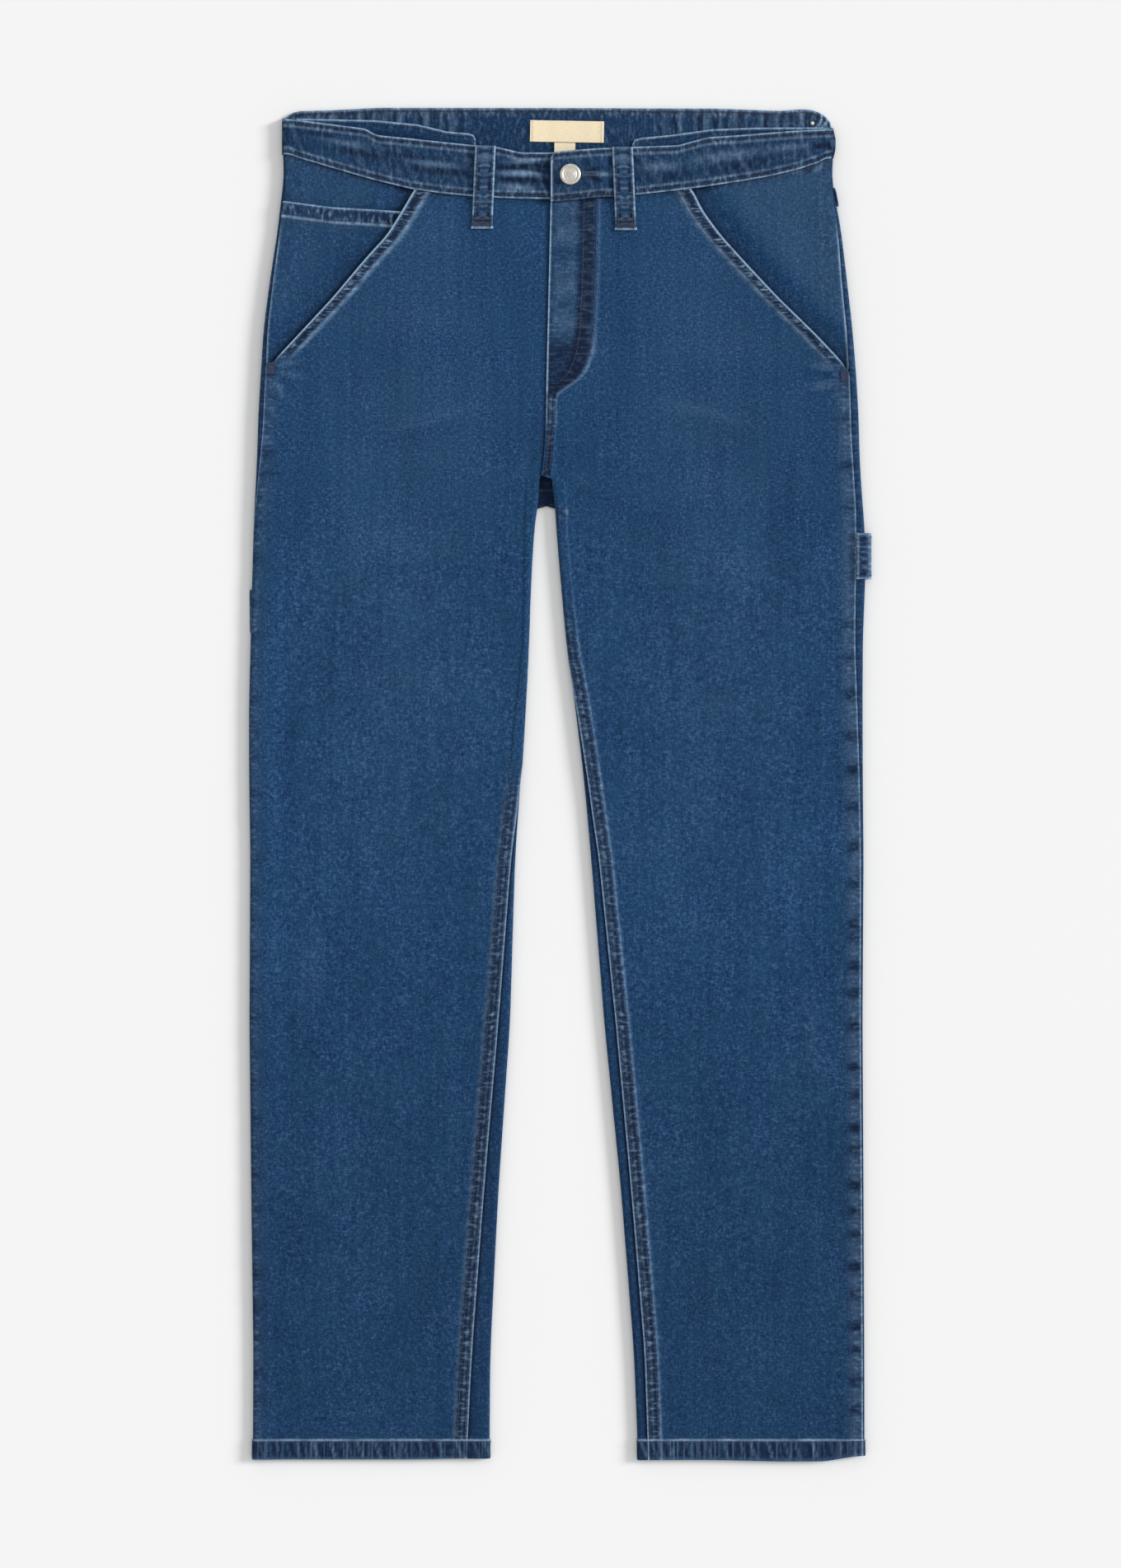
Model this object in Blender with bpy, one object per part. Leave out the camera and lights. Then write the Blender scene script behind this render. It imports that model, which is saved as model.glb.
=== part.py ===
"""Carpenter pants in blue denim, laid flat on their back.

All sizes below are millimetres. X runs from the wearer's right to the wearer's left, Y from the
hems to the waist, Z up from the surface that the pants lie on. Each leg is a flattened tube of
cloth: its back panel lies on the surface and wraps round both edges, its front panel lies on top.
A side is RIGHT (-1) or LEFT (+1), the wearer's; "across" is the distance from the middle line.
"""

import math
from collections import namedtuple

import bmesh
import bpy
from mathutils import Matrix

MM = 0.001
RIGHT = -1
LEFT = 1

CLOTH = 1.2             # one layer of denim
SEAM_GAP = 0.3          # between pieces that are sewn together
LAY_GAP = 0.35          # between pieces that lie on each other
BAND_THICKNESS = 2.4    # the waistband is two layers of denim
BAND_HEIGHT = 7.2       # top of the front waistband above the surface
BAND_EDGE = 0.45        # its stitched edges stand this much proud
PATCH_GAP = 0.5         # under a strap or patch on a panel
CENTRE_BACK = -11.5     # X of the centre back seam
WAIST_LEVEL = {RIGHT: 519.2, LEFT: 516.1}   # Y of the waist seam at each side fold
BACK_WAIST = 517.6      # Y of the waist seam at the centre back
BEND_FROM = 330.0       # above this Y the front rows bend down to the waist seam
CROTCH_OPEN = 254.5     # below this Y the front panels part
CROTCH = 228.0          # below this Y the legs are separate tubes
EDGE_EASE = 28.0        # the thicker edges flatten out over this width
HEM_TOP = -539.5
HEM_HEIGHT = 17.0
RELIEF = 0.8            # a turned or felled edge stands this much proud

# Outer edge of each leg, from the middle line
OuterEdge = namedtuple("OuterEdge", "y right left")
OUTER_EDGE = [
    OuterEdge(521.0, 229.0, 225.6),
    OuterEdge(508.0, 227.8, 223.2),
    OuterEdge(494.0, 228.5, 224.4),
    OuterEdge(481.0, 230.5, 226.8),
    OuterEdge(457.0, 233.0, 231.2),
    OuterEdge(416.0, 239.4, 236.0),
    OuterEdge(375.0, 244.8, 240.7),
    OuterEdge(341.0, 246.8, 243.4),
    OuterEdge(307.0, 248.9, 245.5),
    OuterEdge(267.0, 250.2, 246.6),
    OuterEdge(239.0, 251.6, 248.4),
    OuterEdge(212.0, 252.9, 250.6),
    OuterEdge(188.0, 253.6, 251.2),
    OuterEdge(163.0, 254.3, 251.0),
    OuterEdge(117.0, 255.4, 249.2),
    OuterEdge(63.0, 256.7, 249.0),
    OuterEdge(8.0, 256.6, 249.2),
    OuterEdge(-60.0, 255.7, 249.8),
    OuterEdge(-196.0, 256.4, 249.0),
    OuterEdge(-332.0, 255.0, 249.8),
    OuterEdge(-468.0, 253.2, 250.4),
    OuterEdge(-558.0, 253.6, 250.6),
]

# Inner edge of each front panel as X: the fly and rise seam above, the inner leg edge below
InnerEdge = namedtuple("InnerEdge", "y right left")
INNER_EDGE = [
    InnerEdge(484.0, -8.2, -8.2),
    InnerEdge(330.0, -11.8, -11.8),
    InnerEdge(300.0, -12.2, -12.2),
    InnerEdge(280.0, -13.2, -13.2),
    InnerEdge(262.0, -14.6, -14.6),
    InnerEdge(254.5, -16.2, -16.2),
    InnerEdge(252.0, -16.9, -7.4),
    InnerEdge(230.0, -19.4, -3.9),
    InnerEdge(212.0, -22.4, -2.7),
    InnerEdge(185.0, -23.8, -0.7),
    InnerEdge(163.0, -25.2, 1.4),
    InnerEdge(117.0, -26.5, 5.4),
    InnerEdge(63.0, -29.2, 12.2),
    InnerEdge(8.0, -32.6, 19.0),
    InnerEdge(-60.0, -37.4, 25.2),
    InnerEdge(-196.0, -41.5, 36.0),
    InnerEdge(-332.0, -51.0, 49.6),
    InnerEdge(-468.0, -57.8, 60.5),
    InnerEdge(-558.0, -58.6, 64.0),
]

# Outseam and inseam: how far in from the edge they show on top; below 0 they are wrapped under
Seam = namedtuple("Seam", "y right_outer left_outer right_inner left_inner")
SEAMS = [
    Seam(521.0, 1.6, 1.6, 0.0, 0.0),
    Seam(481.0, 1.6, 1.8, 0.0, 0.0),
    Seam(457.0, 1.8, 2.6, 0.0, 0.0),
    Seam(416.0, 2.6, 4.4, 0.0, 0.0),
    Seam(345.5, 3.8, 5.4, 0.0, 0.0),
    Seam(296.0, 4.2, 6.4, 0.0, 0.0),
    Seam(262.0, 2.2, 5.6, 0.0, 0.0),
    Seam(228.0, 0.6, 5.8, -0.4, -0.4),
    Seam(212.0, 0.0, 6.8, -2.0, -1.5),
    Seam(160.0, -1.0, 7.6, -5.0, -1.5),
    Seam(117.0, -1.0, 6.4, -5.0, -0.5),
    Seam(63.0, -1.0, 4.4, -2.0, 1.0),
    Seam(8.0, -1.0, 2.8, 0.3, 2.6),
    Seam(-30.0, -1.0, 2.4, 1.4, 4.2),
    Seam(-60.0, -1.0, 2.1, 3.0, 6.0),
    Seam(-196.0, -1.0, 1.6, 9.4, 9.2),
    Seam(-332.0, -1.0, 1.4, 11.6, 8.2),
    Seam(-468.0, -1.0, 1.4, 15.0, 8.6),
    Seam(-558.0, -1.0, 1.4, 18.6, 8.2),
]

# Height of the top surface: at the middle of a leg, at its outer fold and at its inner fold
Height = namedtuple("Height", "y middle outer inner")
HEIGHTS = [
    Height(521.0, 6.0, 7.0, 6.0),
    Height(300.0, 6.0, 7.4, 6.0),
    Height(228.0, 5.7, 6.9, 5.8),
    Height(140.0, 5.0, 6.3, 5.6),
    Height(-40.0, 4.8, 6.2, 5.6),
    Height(-500.0, 4.6, 6.0, 5.4),
    Height(-560.0, 4.4, 5.6, 5.2),
]

# Front waistband: its lower seam and its top edge
Waist = namedtuple("Waist", "x seam top")
WAIST_FRONT = [
    Waist(-229.0, 519.6, 548.2),
    Waist(-223.0, 519.2, 547.8),
    Waist(-216.0, 516.6, 547.2),
    Waist(-208.0, 513.8, 546.2),
    Waist(-189.0, 508.0, 543.8),
    Waist(-160.0, 499.6, 540.0),
    Waist(-152.0, 497.4, 534.8),
    Waist(-121.7, 490.2, 531.8),
    Waist(-96.0, 486.6, 529.0),
    Waist(-70.7, 484.2, 526.4),
    Waist(-53.0, 483.2, 525.2),
    Waist(-32.6, 482.4, 520.4),
    Waist(-8.0, 482.2, 520.4),
    Waist(13.6, 482.6, 522.2),
    Waist(41.5, 484.0, 524.3),
    Waist(62.6, 485.6, 525.2),
    Waist(96.6, 489.4, 526.3),
    Waist(121.0, 492.6, 533.0),
    Waist(151.6, 497.2, 535.0),
    Waist(175.0, 501.4, 537.0),
    Waist(197.0, 506.8, 538.6),
    Waist(212.0, 512.2, 539.2),
    Waist(219.0, 515.4, 539.4),
    Waist(221.5, 516.1, 539.5),
    Waist(226.0, 516.2, 539.6),
]

# Top edge of the back waistband, round to the side folds
BackTop = namedtuple("BackTop", "x top")
BACK_TOP = [
    BackTop(-229.3, 547.8),
    BackTop(-226.5, 549.5),
    BackTop(-223.0, 553.0),
    BackTop(-216.0, 555.2),
    BackTop(-188.0, 556.0),
    BackTop(-150.0, 558.0),
    BackTop(0.0, 557.8),
    BackTop(129.0, 557.3),
    BackTop(181.0, 555.4),
    BackTop(199.0, 556.8),
    BackTop(206.0, 556.4),
    BackTop(214.9, 553.4),
    BackTop(221.7, 547.4),
    BackTop(225.0, 541.0),
    BackTop(226.8, 540.0),
]

# Slant pocket mouths: distance of the mouth from the middle line
Mouth = namedtuple("Mouth", "y right left")
MOUTH = [
    Mouth(500.0, 113.0, 99.0),
    Mouth(490.0, 120.4, 108.7),
    Mouth(472.3, 130.7, 117.4),
    Mouth(452.5, 143.0, 132.0),
    Mouth(432.7, 161.2, 149.8),
    Mouth(401.3, 187.5, 179.2),
    Mouth(369.4, 217.0, 211.9),
    Mouth(347.0, 237.7, 232.6),
    Mouth(341.0, 238.6, 236.4),
]
MOUTH_END = {RIGHT: 347.0, LEFT: 341.0}     # below this Y the front panel meets the outseam
MOUTH_HEM = 11.0        # width of the hem along the mouth, measured across
FACING_UNDER = 18.0     # how far a pocket facing runs on under the front panel

# Band of stitched layers beside the fly, the rise seam and the inseam, on the front panels
Layers = namedtuple("Layers", "y right_width left_width right_raise left_raise")
INNER_LAYERS = [
    Layers(484.0, 10.0, 40.0, 0.0, 1.8),
    Layers(423.0, 10.0, 40.4, 0.0, 1.2),
    Layers(371.0, 10.0, 39.0, 0.0, 0.9),
    Layers(356.0, 10.0, 36.9, 0.0, 0.8),
    Layers(345.0, 10.0, 33.4, 0.0, 0.8),
    Layers(337.0, 10.0, 29.4, 0.0, 0.8),
    Layers(330.0, 10.0, 21.0, 0.0, 0.8),
    Layers(324.5, 10.0, 12.0, 0.0, 0.8),
    Layers(321.0, 10.0, 8.4, 0.0, 0.8),
    Layers(262.0, 10.0, 8.2, 0.0, 0.8),
    Layers(245.0, 10.6, 10.0, 0.6, 0.8),
    Layers(228.0, 11.0, 11.0, 0.8, 0.8),
    Layers(-560.0, 11.0, 11.0, 0.8, 0.8),
]

# Soft folds pressed into the top of the cloth
Fold = namedtuple("Fold", "x y angle length width rise")
FOLDS = [
    Fold(-62.0, 262.0, 24.0, 56.0, 9.0, 1.0),
    Fold(-84.0, 226.0, 12.0, 64.0, 10.0, 0.8),
    Fold(52.0, 266.0, -22.0, 60.0, 9.0, 1.0),
    Fold(78.0, 222.0, -14.0, 70.0, 10.0, 0.8),
    Fold(-128.0, 96.0, -18.0, 60.0, 12.0, 0.8),
    Fold(132.0, 60.0, 20.0, 66.0, 12.0, 0.8),
    Fold(-170.0, -40.0, 64.0, 90.0, 13.0, 0.8),
    Fold(172.0, -96.0, -66.0, 90.0, 13.0, 0.8),
    Fold(-140.0, -270.0, 76.0, 120.0, 14.0, 0.7),
    Fold(150.0, -330.0, -80.0, 120.0, 14.0, 0.7),
]

# Pieces that lie under a leg and lift its back panel: side, across and Y limits, and the lift
Underlay = namedtuple("Underlay", "side across_low across_high y_low y_high lift")
UNDERLAYS = [
    Underlay(RIGHT, 140.0, 270.0, -30.0, 160.6, 1.5),
    Underlay(LEFT, 196.0, 270.0, 168.6, 207.4, 2.1),
]
LIFT_RAMP = 10.0

BUTTON_X = 8.1
BUTTON_Y = 501.8
LAP_END = -8.0          # X of the wearer's-left waistband's end, which laps over the right one
LAP_UNDER = 28.0        # X where the right waistband ends under it
LAP_RAMP = 42.0         # X where the left waistband is down on the cloth again

DENIM = "denim"
MATERIALS = {
    DENIM: {"color": (0.022, 0.070, 0.175), "roughness": 0.85, "metallic": 0.0},
    "metal": {"color": (0.62, 0.60, 0.57), "roughness": 0.3, "metallic": 1.0},
    "woven_label": {"color": (0.80, 0.76, 0.66), "roughness": 0.8, "metallic": 0.0},
}


def lookup(table, key, column, at):
    """Value of a column of a table at a place between its rows, whichever way the rows run."""
    rows = sorted(table, key=lambda row: getattr(row, key))
    if at <= getattr(rows[0], key):
        return getattr(rows[0], column)
    for low, high in zip(rows, rows[1:]):
        start = getattr(low, key)
        end = getattr(high, key)
        if at <= end:
            part = (at - start) / (end - start)
            return getattr(low, column) * (1.0 - part) + getattr(high, column) * part
    return getattr(rows[-1], column)


def side_name(side):
    return "right" if side == RIGHT else "left"


def smooth_step(value):
    value = min(1.0, max(0.0, value))
    return value * value * (3.0 - 2.0 * value)


def outer_edge(side, y):
    return lookup(OUTER_EDGE, "y", side_name(side), y)


def inner_edge(side, y):
    """Across distance of the front panel's inner edge; it may be beyond the middle line."""
    return side * lookup(INNER_EDGE, "y", side_name(side), y)


def waist_seam(x):
    return lookup(WAIST_FRONT, "x", "seam", x)


def mouth(side, y):
    return lookup(MOUTH, "y", side_name(side), y)


def lift(side, across, y):
    """How far the back panel is lifted by what lies under it."""
    total = 0.0
    for under in UNDERLAYS:
        if under.side != side:
            continue
        beyond = max(under.across_low - across, under.y_low - y, y - under.y_high, 0.0)
        total = max(total, under.lift * (1.0 - min(1.0, beyond / LIFT_RAMP)))
    return total


def fold_rise(x, y):
    """Height of the soft folds at a place on the top of the cloth."""
    total = 0.0
    for fold in FOLDS:
        turn = math.radians(fold.angle)
        along = (x - fold.x) * math.cos(turn) + (y - fold.y) * math.sin(turn)
        across = (y - fold.y) * math.cos(turn) - (x - fold.x) * math.sin(turn)
        if abs(along) < fold.length and abs(across) < 3.0 * fold.width:
            run = math.cos(0.5 * math.pi * along / fold.length) ** 2
            total += fold.rise * run * math.exp(-((across / fold.width) ** 2))
    return total


class Section:
    """Cross-section of one leg at one Y, as a path of arc lengths round the flattened tube.

    Arc length 0 is the outermost point at the outer fold. It grows over the top of the leg to
    the inner edge, and falls below 0 round the underside.
    """

    def __init__(self, side, y):
        name = side_name(side)
        self.side = side
        self.y = y
        self.edge = outer_edge(side, y)
        self.middle = lookup(HEIGHTS, "y", "middle", y)
        self.outer_height = lookup(HEIGHTS, "y", "outer", y)
        self.roll = smooth_step((CROTCH_OPEN - y) / (CROTCH_OPEN - CROTCH))
        inner_height = lookup(HEIGHTS, "y", "inner", y)
        self.inner_height = self.middle + (inner_height - self.middle) * self.roll
        self.edge_lift = lift(side, self.edge, y)
        self.outer_radius = (self.outer_height - self.edge_lift) / 2.0
        self.inner_radius = self.inner_height / 2.0
        self.quarter = 0.5 * math.pi * self.outer_radius
        self.outseam = self.seam_arc(lookup(SEAMS, "y", name + "_outer", y), self.outer_radius)
        inseam = self.seam_arc(lookup(SEAMS, "y", name + "_inner", y), self.inner_radius)
        full_wrap = 0.5 * math.pi * self.inner_radius - inseam
        self.wrap = full_wrap * (1.0 if y < CROTCH else self.roll)
        reach = 1.0
        if y >= CROTCH:
            reach = math.sin(min(self.wrap / self.inner_radius, 0.5 * math.pi))
        self.flat_end = inner_edge(side, y) + self.inner_radius * reach
        self.over_flat_end = self.quarter + self.edge - self.outer_radius - self.flat_end
        self.over_end = self.over_flat_end + self.wrap
        self.under_flat_end = self.over_flat_end
        self.under_end = self.under_flat_end + math.pi * self.inner_radius - self.wrap

    @staticmethod
    def seam_arc(shown, radius):
        """Arc length from a fold's outermost point to a seam that shows that far in from it."""
        if shown >= radius:
            return 0.5 * math.pi * radius + shown - radius
        if shown > 0.0:
            return radius * math.acos(1.0 - shown / radius)
        return shown

    def top(self, across):
        """Height of the top surface."""
        outward = smooth_step(1.0 - (self.edge - self.outer_radius - across) / EDGE_EASE)
        inward = smooth_step(1.0 - (across - self.flat_end) / EDGE_EASE)
        height = self.middle + (self.outer_height - self.middle) * outward
        return height + (self.inner_height - self.middle) * inward * self.roll

    def outer_arc(self, arc):
        angle = arc / self.outer_radius
        centre_z = self.edge_lift + self.outer_radius
        across = self.edge - self.outer_radius + self.outer_radius * math.cos(angle)
        return across, centre_z + self.outer_radius * math.sin(angle), math.cos(angle), math.sin(angle)

    def over(self, arc):
        """Across distance, height and outward direction at an arc length over the top."""
        if arc <= self.quarter:
            return self.outer_arc(arc)
        if arc <= self.over_flat_end:
            across = self.edge - self.outer_radius - (arc - self.quarter)
            return across, self.top(across), 0.0, 1.0
        angle = (arc - self.over_flat_end) / self.inner_radius
        across = self.flat_end - self.inner_radius * math.sin(angle)
        height = self.inner_radius * (1.0 + math.cos(angle))
        if angle > math.pi:
            across = self.flat_end + (angle - math.pi) * self.inner_radius
            return across, 0.0, 0.0, -1.0
        return across, height, -math.sin(angle), math.cos(angle)

    def under(self, arc):
        """The same, round the underside: arc length grows under the leg to the inner edge."""
        if arc < 0.0:
            return self.over(-arc)
        if arc <= self.quarter:
            return self.outer_arc(-arc)
        if arc <= self.under_flat_end:
            across = self.edge - self.outer_radius - (arc - self.quarter)
            return across, lift(self.side, across, self.y), 0.0, -1.0
        angle = (arc - self.under_flat_end) / self.inner_radius
        if angle > math.pi:
            across = self.flat_end + (angle - math.pi) * self.inner_radius
            return across, self.top(across), 0.0, 1.0
        across = self.flat_end - self.inner_radius * math.sin(angle)
        return across, self.inner_radius * (1.0 - math.cos(angle)), -math.sin(angle), -math.cos(angle)


def front_y(side, level, x):
    """Y of a front row at X: rows are straight on the legs and bend to the waist seam above."""
    start = WAIST_LEVEL[side]
    bend = max(0.0, (level - BEND_FROM) / (start - BEND_FROM))
    return level + bend * (waist_seam(x) - start)


def back_y(side, level, across):
    """Y of a back row, which runs straight from the side fold to the centre back."""
    start = WAIST_LEVEL[side]
    bend = max(0.0, (level - BEND_FROM) / (start - BEND_FROM))
    edge = outer_edge(side, level)
    part = (edge - across) / (edge - side * CENTRE_BACK)
    return level + bend * (BACK_WAIST - start) * part


def solve_across(side, level, line, start):
    """Across distance where a front row crosses a line given by Y."""
    across = start
    for _ in range(12):
        across = line(front_y(side, level, side * across))
    return across


def material(name):
    found = bpy.data.materials.get(name)
    if found:
        return found
    made = bpy.data.materials.new(name)
    made.use_nodes = True
    shader = made.node_tree.nodes["Principled BSDF"]
    shader.inputs["Base Color"].default_value = (*MATERIALS[name]["color"], 1.0)
    shader.inputs["Roughness"].default_value = MATERIALS[name]["roughness"]
    shader.inputs["Metallic"].default_value = MATERIALS[name]["metallic"]
    return made


def add_object(name, bm, material_name):
    """Closes the book on a mesh in millimetres: outward faces, metres, smooth shading."""
    bmesh.ops.recalc_face_normals(bm, faces=bm.faces)
    bmesh.ops.transform(bm, matrix=Matrix.Scale(MM, 4), verts=bm.verts)
    mesh = bpy.data.meshes.new(name)
    bm.to_mesh(mesh)
    bm.free()
    mesh.materials.append(material(material_name))
    mesh.shade_smooth()
    mesh.set_sharp_from_angle(angle=math.radians(40.0))
    piece = bpy.data.objects.new(name, mesh)
    bpy.context.scene.collection.objects.link(piece)
    return piece


def add_wall(name, outer, inner, material_name=DENIM):
    """Closed wall between an outer and an inner grid of points, with its four rims."""
    bm = bmesh.new()
    outside = [[bm.verts.new(point) for point in row] for row in outer]
    inside = [[bm.verts.new(point) for point in row] for row in inner]
    rows = len(outside)
    columns = len(outside[0])
    for r in range(rows - 1):
        for c in range(columns - 1):
            falling = (outside[r][c].co - outside[r + 1][c + 1].co).length
            rising = (outside[r][c + 1].co - outside[r + 1][c].co).length
            for grid in (outside, inside):
                corners = [grid[r][c], grid[r][c + 1], grid[r + 1][c + 1], grid[r + 1][c]]
                if rising < falling:
                    corners = corners[1:] + corners[:1]
                bm.faces.new(corners[:3])
                bm.faces.new((corners[0], corners[2], corners[3]))
        for c in (0, columns - 1):
            bm.faces.new((outside[r][c], outside[r + 1][c], inside[r + 1][c]))
            bm.faces.new((outside[r][c], inside[r + 1][c], inside[r][c]))
    for r in (0, rows - 1):
        for c in range(columns - 1):
            bm.faces.new((outside[r][c], outside[r][c + 1], inside[r][c + 1], inside[r][c]))
    return add_object(name, bm, material_name)


def spread(start, end, count):
    """Evenly spaced places between two ends, without the ends."""
    return [start + (end - start) * (k + 1) / (count + 1) for k in range(count)]


# How the hems' lower edges rise: where it starts and ends across the leg, and by how much
HemRise = namedtuple("HemRise", "start end rise")
HEM_RISES = {
    RIGHT: [HemRise(130.0, 70.0, 0.8)],
    LEFT: [HemRise(212.0, 250.0, 4.6), HemRise(110.0, 190.0, -1.2)],
}


def hem_drop(side, across, level):
    """The hems' lower edges are not quite straight."""
    share = max(0.0, (HEM_TOP - level) / HEM_HEIGHT)
    return share * sum(part.rise * smooth_step((across - part.start) / (part.end - part.start))
                       for part in HEM_RISES[side])


FRONT_LEVELS = {
    RIGHT: [518.8, 508, 494, 481, 457, 416, 375, 356, 348.5, 345.5, 330, 296, 262, 254.5, 252, 242, 229.5,
            227, 212, 188, 170.6, 160.6, 117, 90, 63, 36, 22, 8, -30, -40, -196, -332, -468, -538.9, -540.1, -556.4],
    LEFT: [515.7, 508, 494, 481, 457, 416, 375, 356, 342.5, 339.5, 337, 330, 324.5, 321, 296, 262, 254.5,
           252, 242, 229.5, 227, 217.4, 207.4, 188, 168.6, 158.6, 117, 90, 63, 36, 8, -60, -196, -332, -468, -538.9,
           -540.1, -556.8],
}
MOUTH_COLUMNS = [0.0, 1.3, 3.4, 6.4, MOUTH_HEM + 0.4, MOUTH_HEM + 1.8, 20.0]


def front_leg(side):
    """Front panel: from the pocket mouth and the outseam over the top to the fly and the inseam."""
    name = side_name(side)
    outer = []
    inner = []
    for level in FRONT_LEVELS[side]:
        section = Section(side, level)
        start = section.outseam + SEAM_GAP / 2.0
        hemmed = level > MOUTH_END[side]
        if hemmed:
            at_mouth = solve_across(side, level, lambda y: mouth(side, y), 180.0)
            start = section.quarter + section.edge - section.outer_radius - at_mouth
        centre_y = front_y(side, level, CENTRE_BACK)
        centre = Section(side, centre_y)
        end = section.over_flat_end + section.flat_end - centre.flat_end + centre.wrap - SEAM_GAP / 2.0
        width = lookup(INNER_LAYERS, "y", name + "_width", centre_y)
        raised = lookup(INNER_LAYERS, "y", name + "_raise", centre_y)
        inward = [0.0, 0.8, 0.34 * width, 0.67 * width, width - 0.8, width + 0.6, width + 12.0]
        low = start + MOUTH_COLUMNS[-1]
        high = end - inward[-1]
        arcs = [start + step for step in MOUTH_COLUMNS] + spread(low, high, 4)
        arcs += [end - step for step in reversed(inward)]
        out_row = []
        in_row = []
        for c, arc in enumerate(arcs):
            if level > CROTCH_OPEN and arc > section.over_flat_end - 1.0:
                across = section.edge - section.outer_radius - (arc - section.quarter)
                height, out_x, out_z = section.middle, 0.0, 1.0
            else:
                across, height, out_x, out_z = section.over(arc)
            x = side * across
            y = front_y(side, level, x) + hem_drop(side, across, level)
            if out_z > 0.99:
                height += fold_rise(x, y)
            relief = 0.0
            if hemmed and c <= 4:
                relief = RELIEF * smooth_step((level - MOUTH_END[side]) / 12.0)
            if c >= len(arcs) - 5:
                relief = raised
            if level < HEM_TOP:
                relief = max(relief, RELIEF)
            relief *= min(1.0, 1.0 + out_z)
            proud = (x + side * out_x * relief, y, height + out_z * relief)
            out_row.append(proud)
            in_row.append((x - side * out_x * CLOTH, y, height - out_z * CLOTH))
        outer.append(out_row)
        inner.append(in_row)
    add_wall("front_{}_leg".format(name), outer, inner)


BACK_COLUMNS = {
    RIGHT: [0.0, 1.7, 3.5, 5.6, 8.0, 60.0],
    LEFT: [0.0, 1.7, 3.5, 5.6, 8.0, 30.0],
}
BACK_STOPS = {RIGHT: [140.0, 130.0], LEFT: [196.0, 186.0]}


def back_leg(side):
    """Back panel: round the outer fold, flat on the surface, and up round the inner fold."""
    outer = []
    inner = []
    for level in FRONT_LEVELS[side]:
        section = Section(side, level)
        start = -section.outseam + SEAM_GAP / 2.0
        flat = section.quarter + section.edge - section.outer_radius
        if level > CROTCH:
            end = flat - side * CENTRE_BACK - SEAM_GAP / 2.0
            inner_start = end - 24.0
        else:
            end = section.under_end - SEAM_GAP / 2.0
            inner_start = section.under_flat_end - 10.0
        stops = [flat - across for across in BACK_STOPS[side]]
        arcs = [start + step * (8.0 + section.quarter - start) / 8.0 for step in BACK_COLUMNS[side][:5]]
        arcs += BACK_COLUMNS[side][5:]
        arcs += stops + spread(stops[-1], inner_start, 1) + [inner_start]
        arcs += spread(inner_start, end, 7) + [end]
        out_row = []
        in_row = []
        for arc in arcs:
            if level > CROTCH and arc > section.under_flat_end - 1.0:
                across = flat - arc
                height, out_x, out_z = 0.0, 0.0, -1.0
            else:
                across, height, out_x, out_z = section.under(arc)
            x = side * across
            y = back_y(side, level, across) + hem_drop(side, across, level)
            relief = RELIEF * min(1.0, 1.0 + out_z) if level < HEM_TOP else 0.0
            out_row.append((x + side * out_x * relief, y, height + out_z * relief))
            in_row.append((x - side * out_x * CLOTH, y, height - out_z * CLOTH))
        outer.append(out_row)
        inner.append(in_row)
    add_wall("back_{}_leg".format(side_name(side)), outer, inner)


COIN_TOP = [(-246.0, 481.0), (-226.3, 480.4), (-187.7, 475.5), (-130.7, 472.3), (-100.0, 470.6)]
COIN_LAYER = 1.5        # the coin pocket's cloth and the gap under it
COIN_GAP = 0.6          # above the coin pocket's top edge, where the facing comes up beside it
COIN_HEM = 13.0         # height of the hem along its top
COIN_HEM_RAISE = 0.35   # its hem stands this much proud
COIN_LOW = 343.0        # Y of its lower edge, under the front panel
COIN_UNDER = 8.0        # how far it runs on under the front panel
FACING_LOW = 338.0      # Y of the right facing's lower edge, under the front panel
MOUTH_SLANT = 0.77      # distance from the mouth's line, for each mm across
MOUTH_DEPTH = 1.6       # depth of a facing under the front panel at the mouth
FACING_RAMP = 16.0      # width over which a facing comes up to the top of the cloth


def coin_top(x):
    for (low_x, low_y), (high_x, high_y) in zip(COIN_TOP, COIN_TOP[1:]):
        if x <= high_x:
            return low_y + (high_y - low_y) * (x - low_x) / (high_x - low_x)
    return COIN_TOP[-1][1]


def facing_row(side, row_y, depth_of, inner_line, columns):
    """One row of a piece behind the pocket mouth, from the outseam to under the front panel."""
    edge_y = row_y(side * 240.0)
    section = Section(side, edge_y)
    start = section.outseam + SEAM_GAP / 2.0
    if edge_y < MOUTH_END[side]:
        start = max(start, section.quarter) + 1.0
    across = 180.0
    for _ in range(12):
        across = inner_line(row_y(side * across))
    end = section.quarter + section.edge - section.outer_radius - across
    out_row = []
    in_row = []
    for part in columns:
        arc = start + (end - start) * part
        across, height, out_x, out_z = section.over(arc)
        x = side * across
        y = row_y(x)
        depth = depth_of(across, y)
        out_row.append((x - side * out_x * depth, y, height - out_z * depth))
        thick = depth + CLOTH - 0.1
        in_row.append((x - side * out_x * thick, y, height - out_z * thick))
    return out_row, in_row


def mouth_depth(side, across, y):
    """Depth of the layer behind the mouth: under the front panel, and up to flush beside it."""
    clear = (across - mouth(side, y)) * MOUTH_SLANT
    return (MOUTH_DEPTH + 0.1) * (1.0 - smooth_step((clear - 4.0) / FACING_RAMP))


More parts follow.
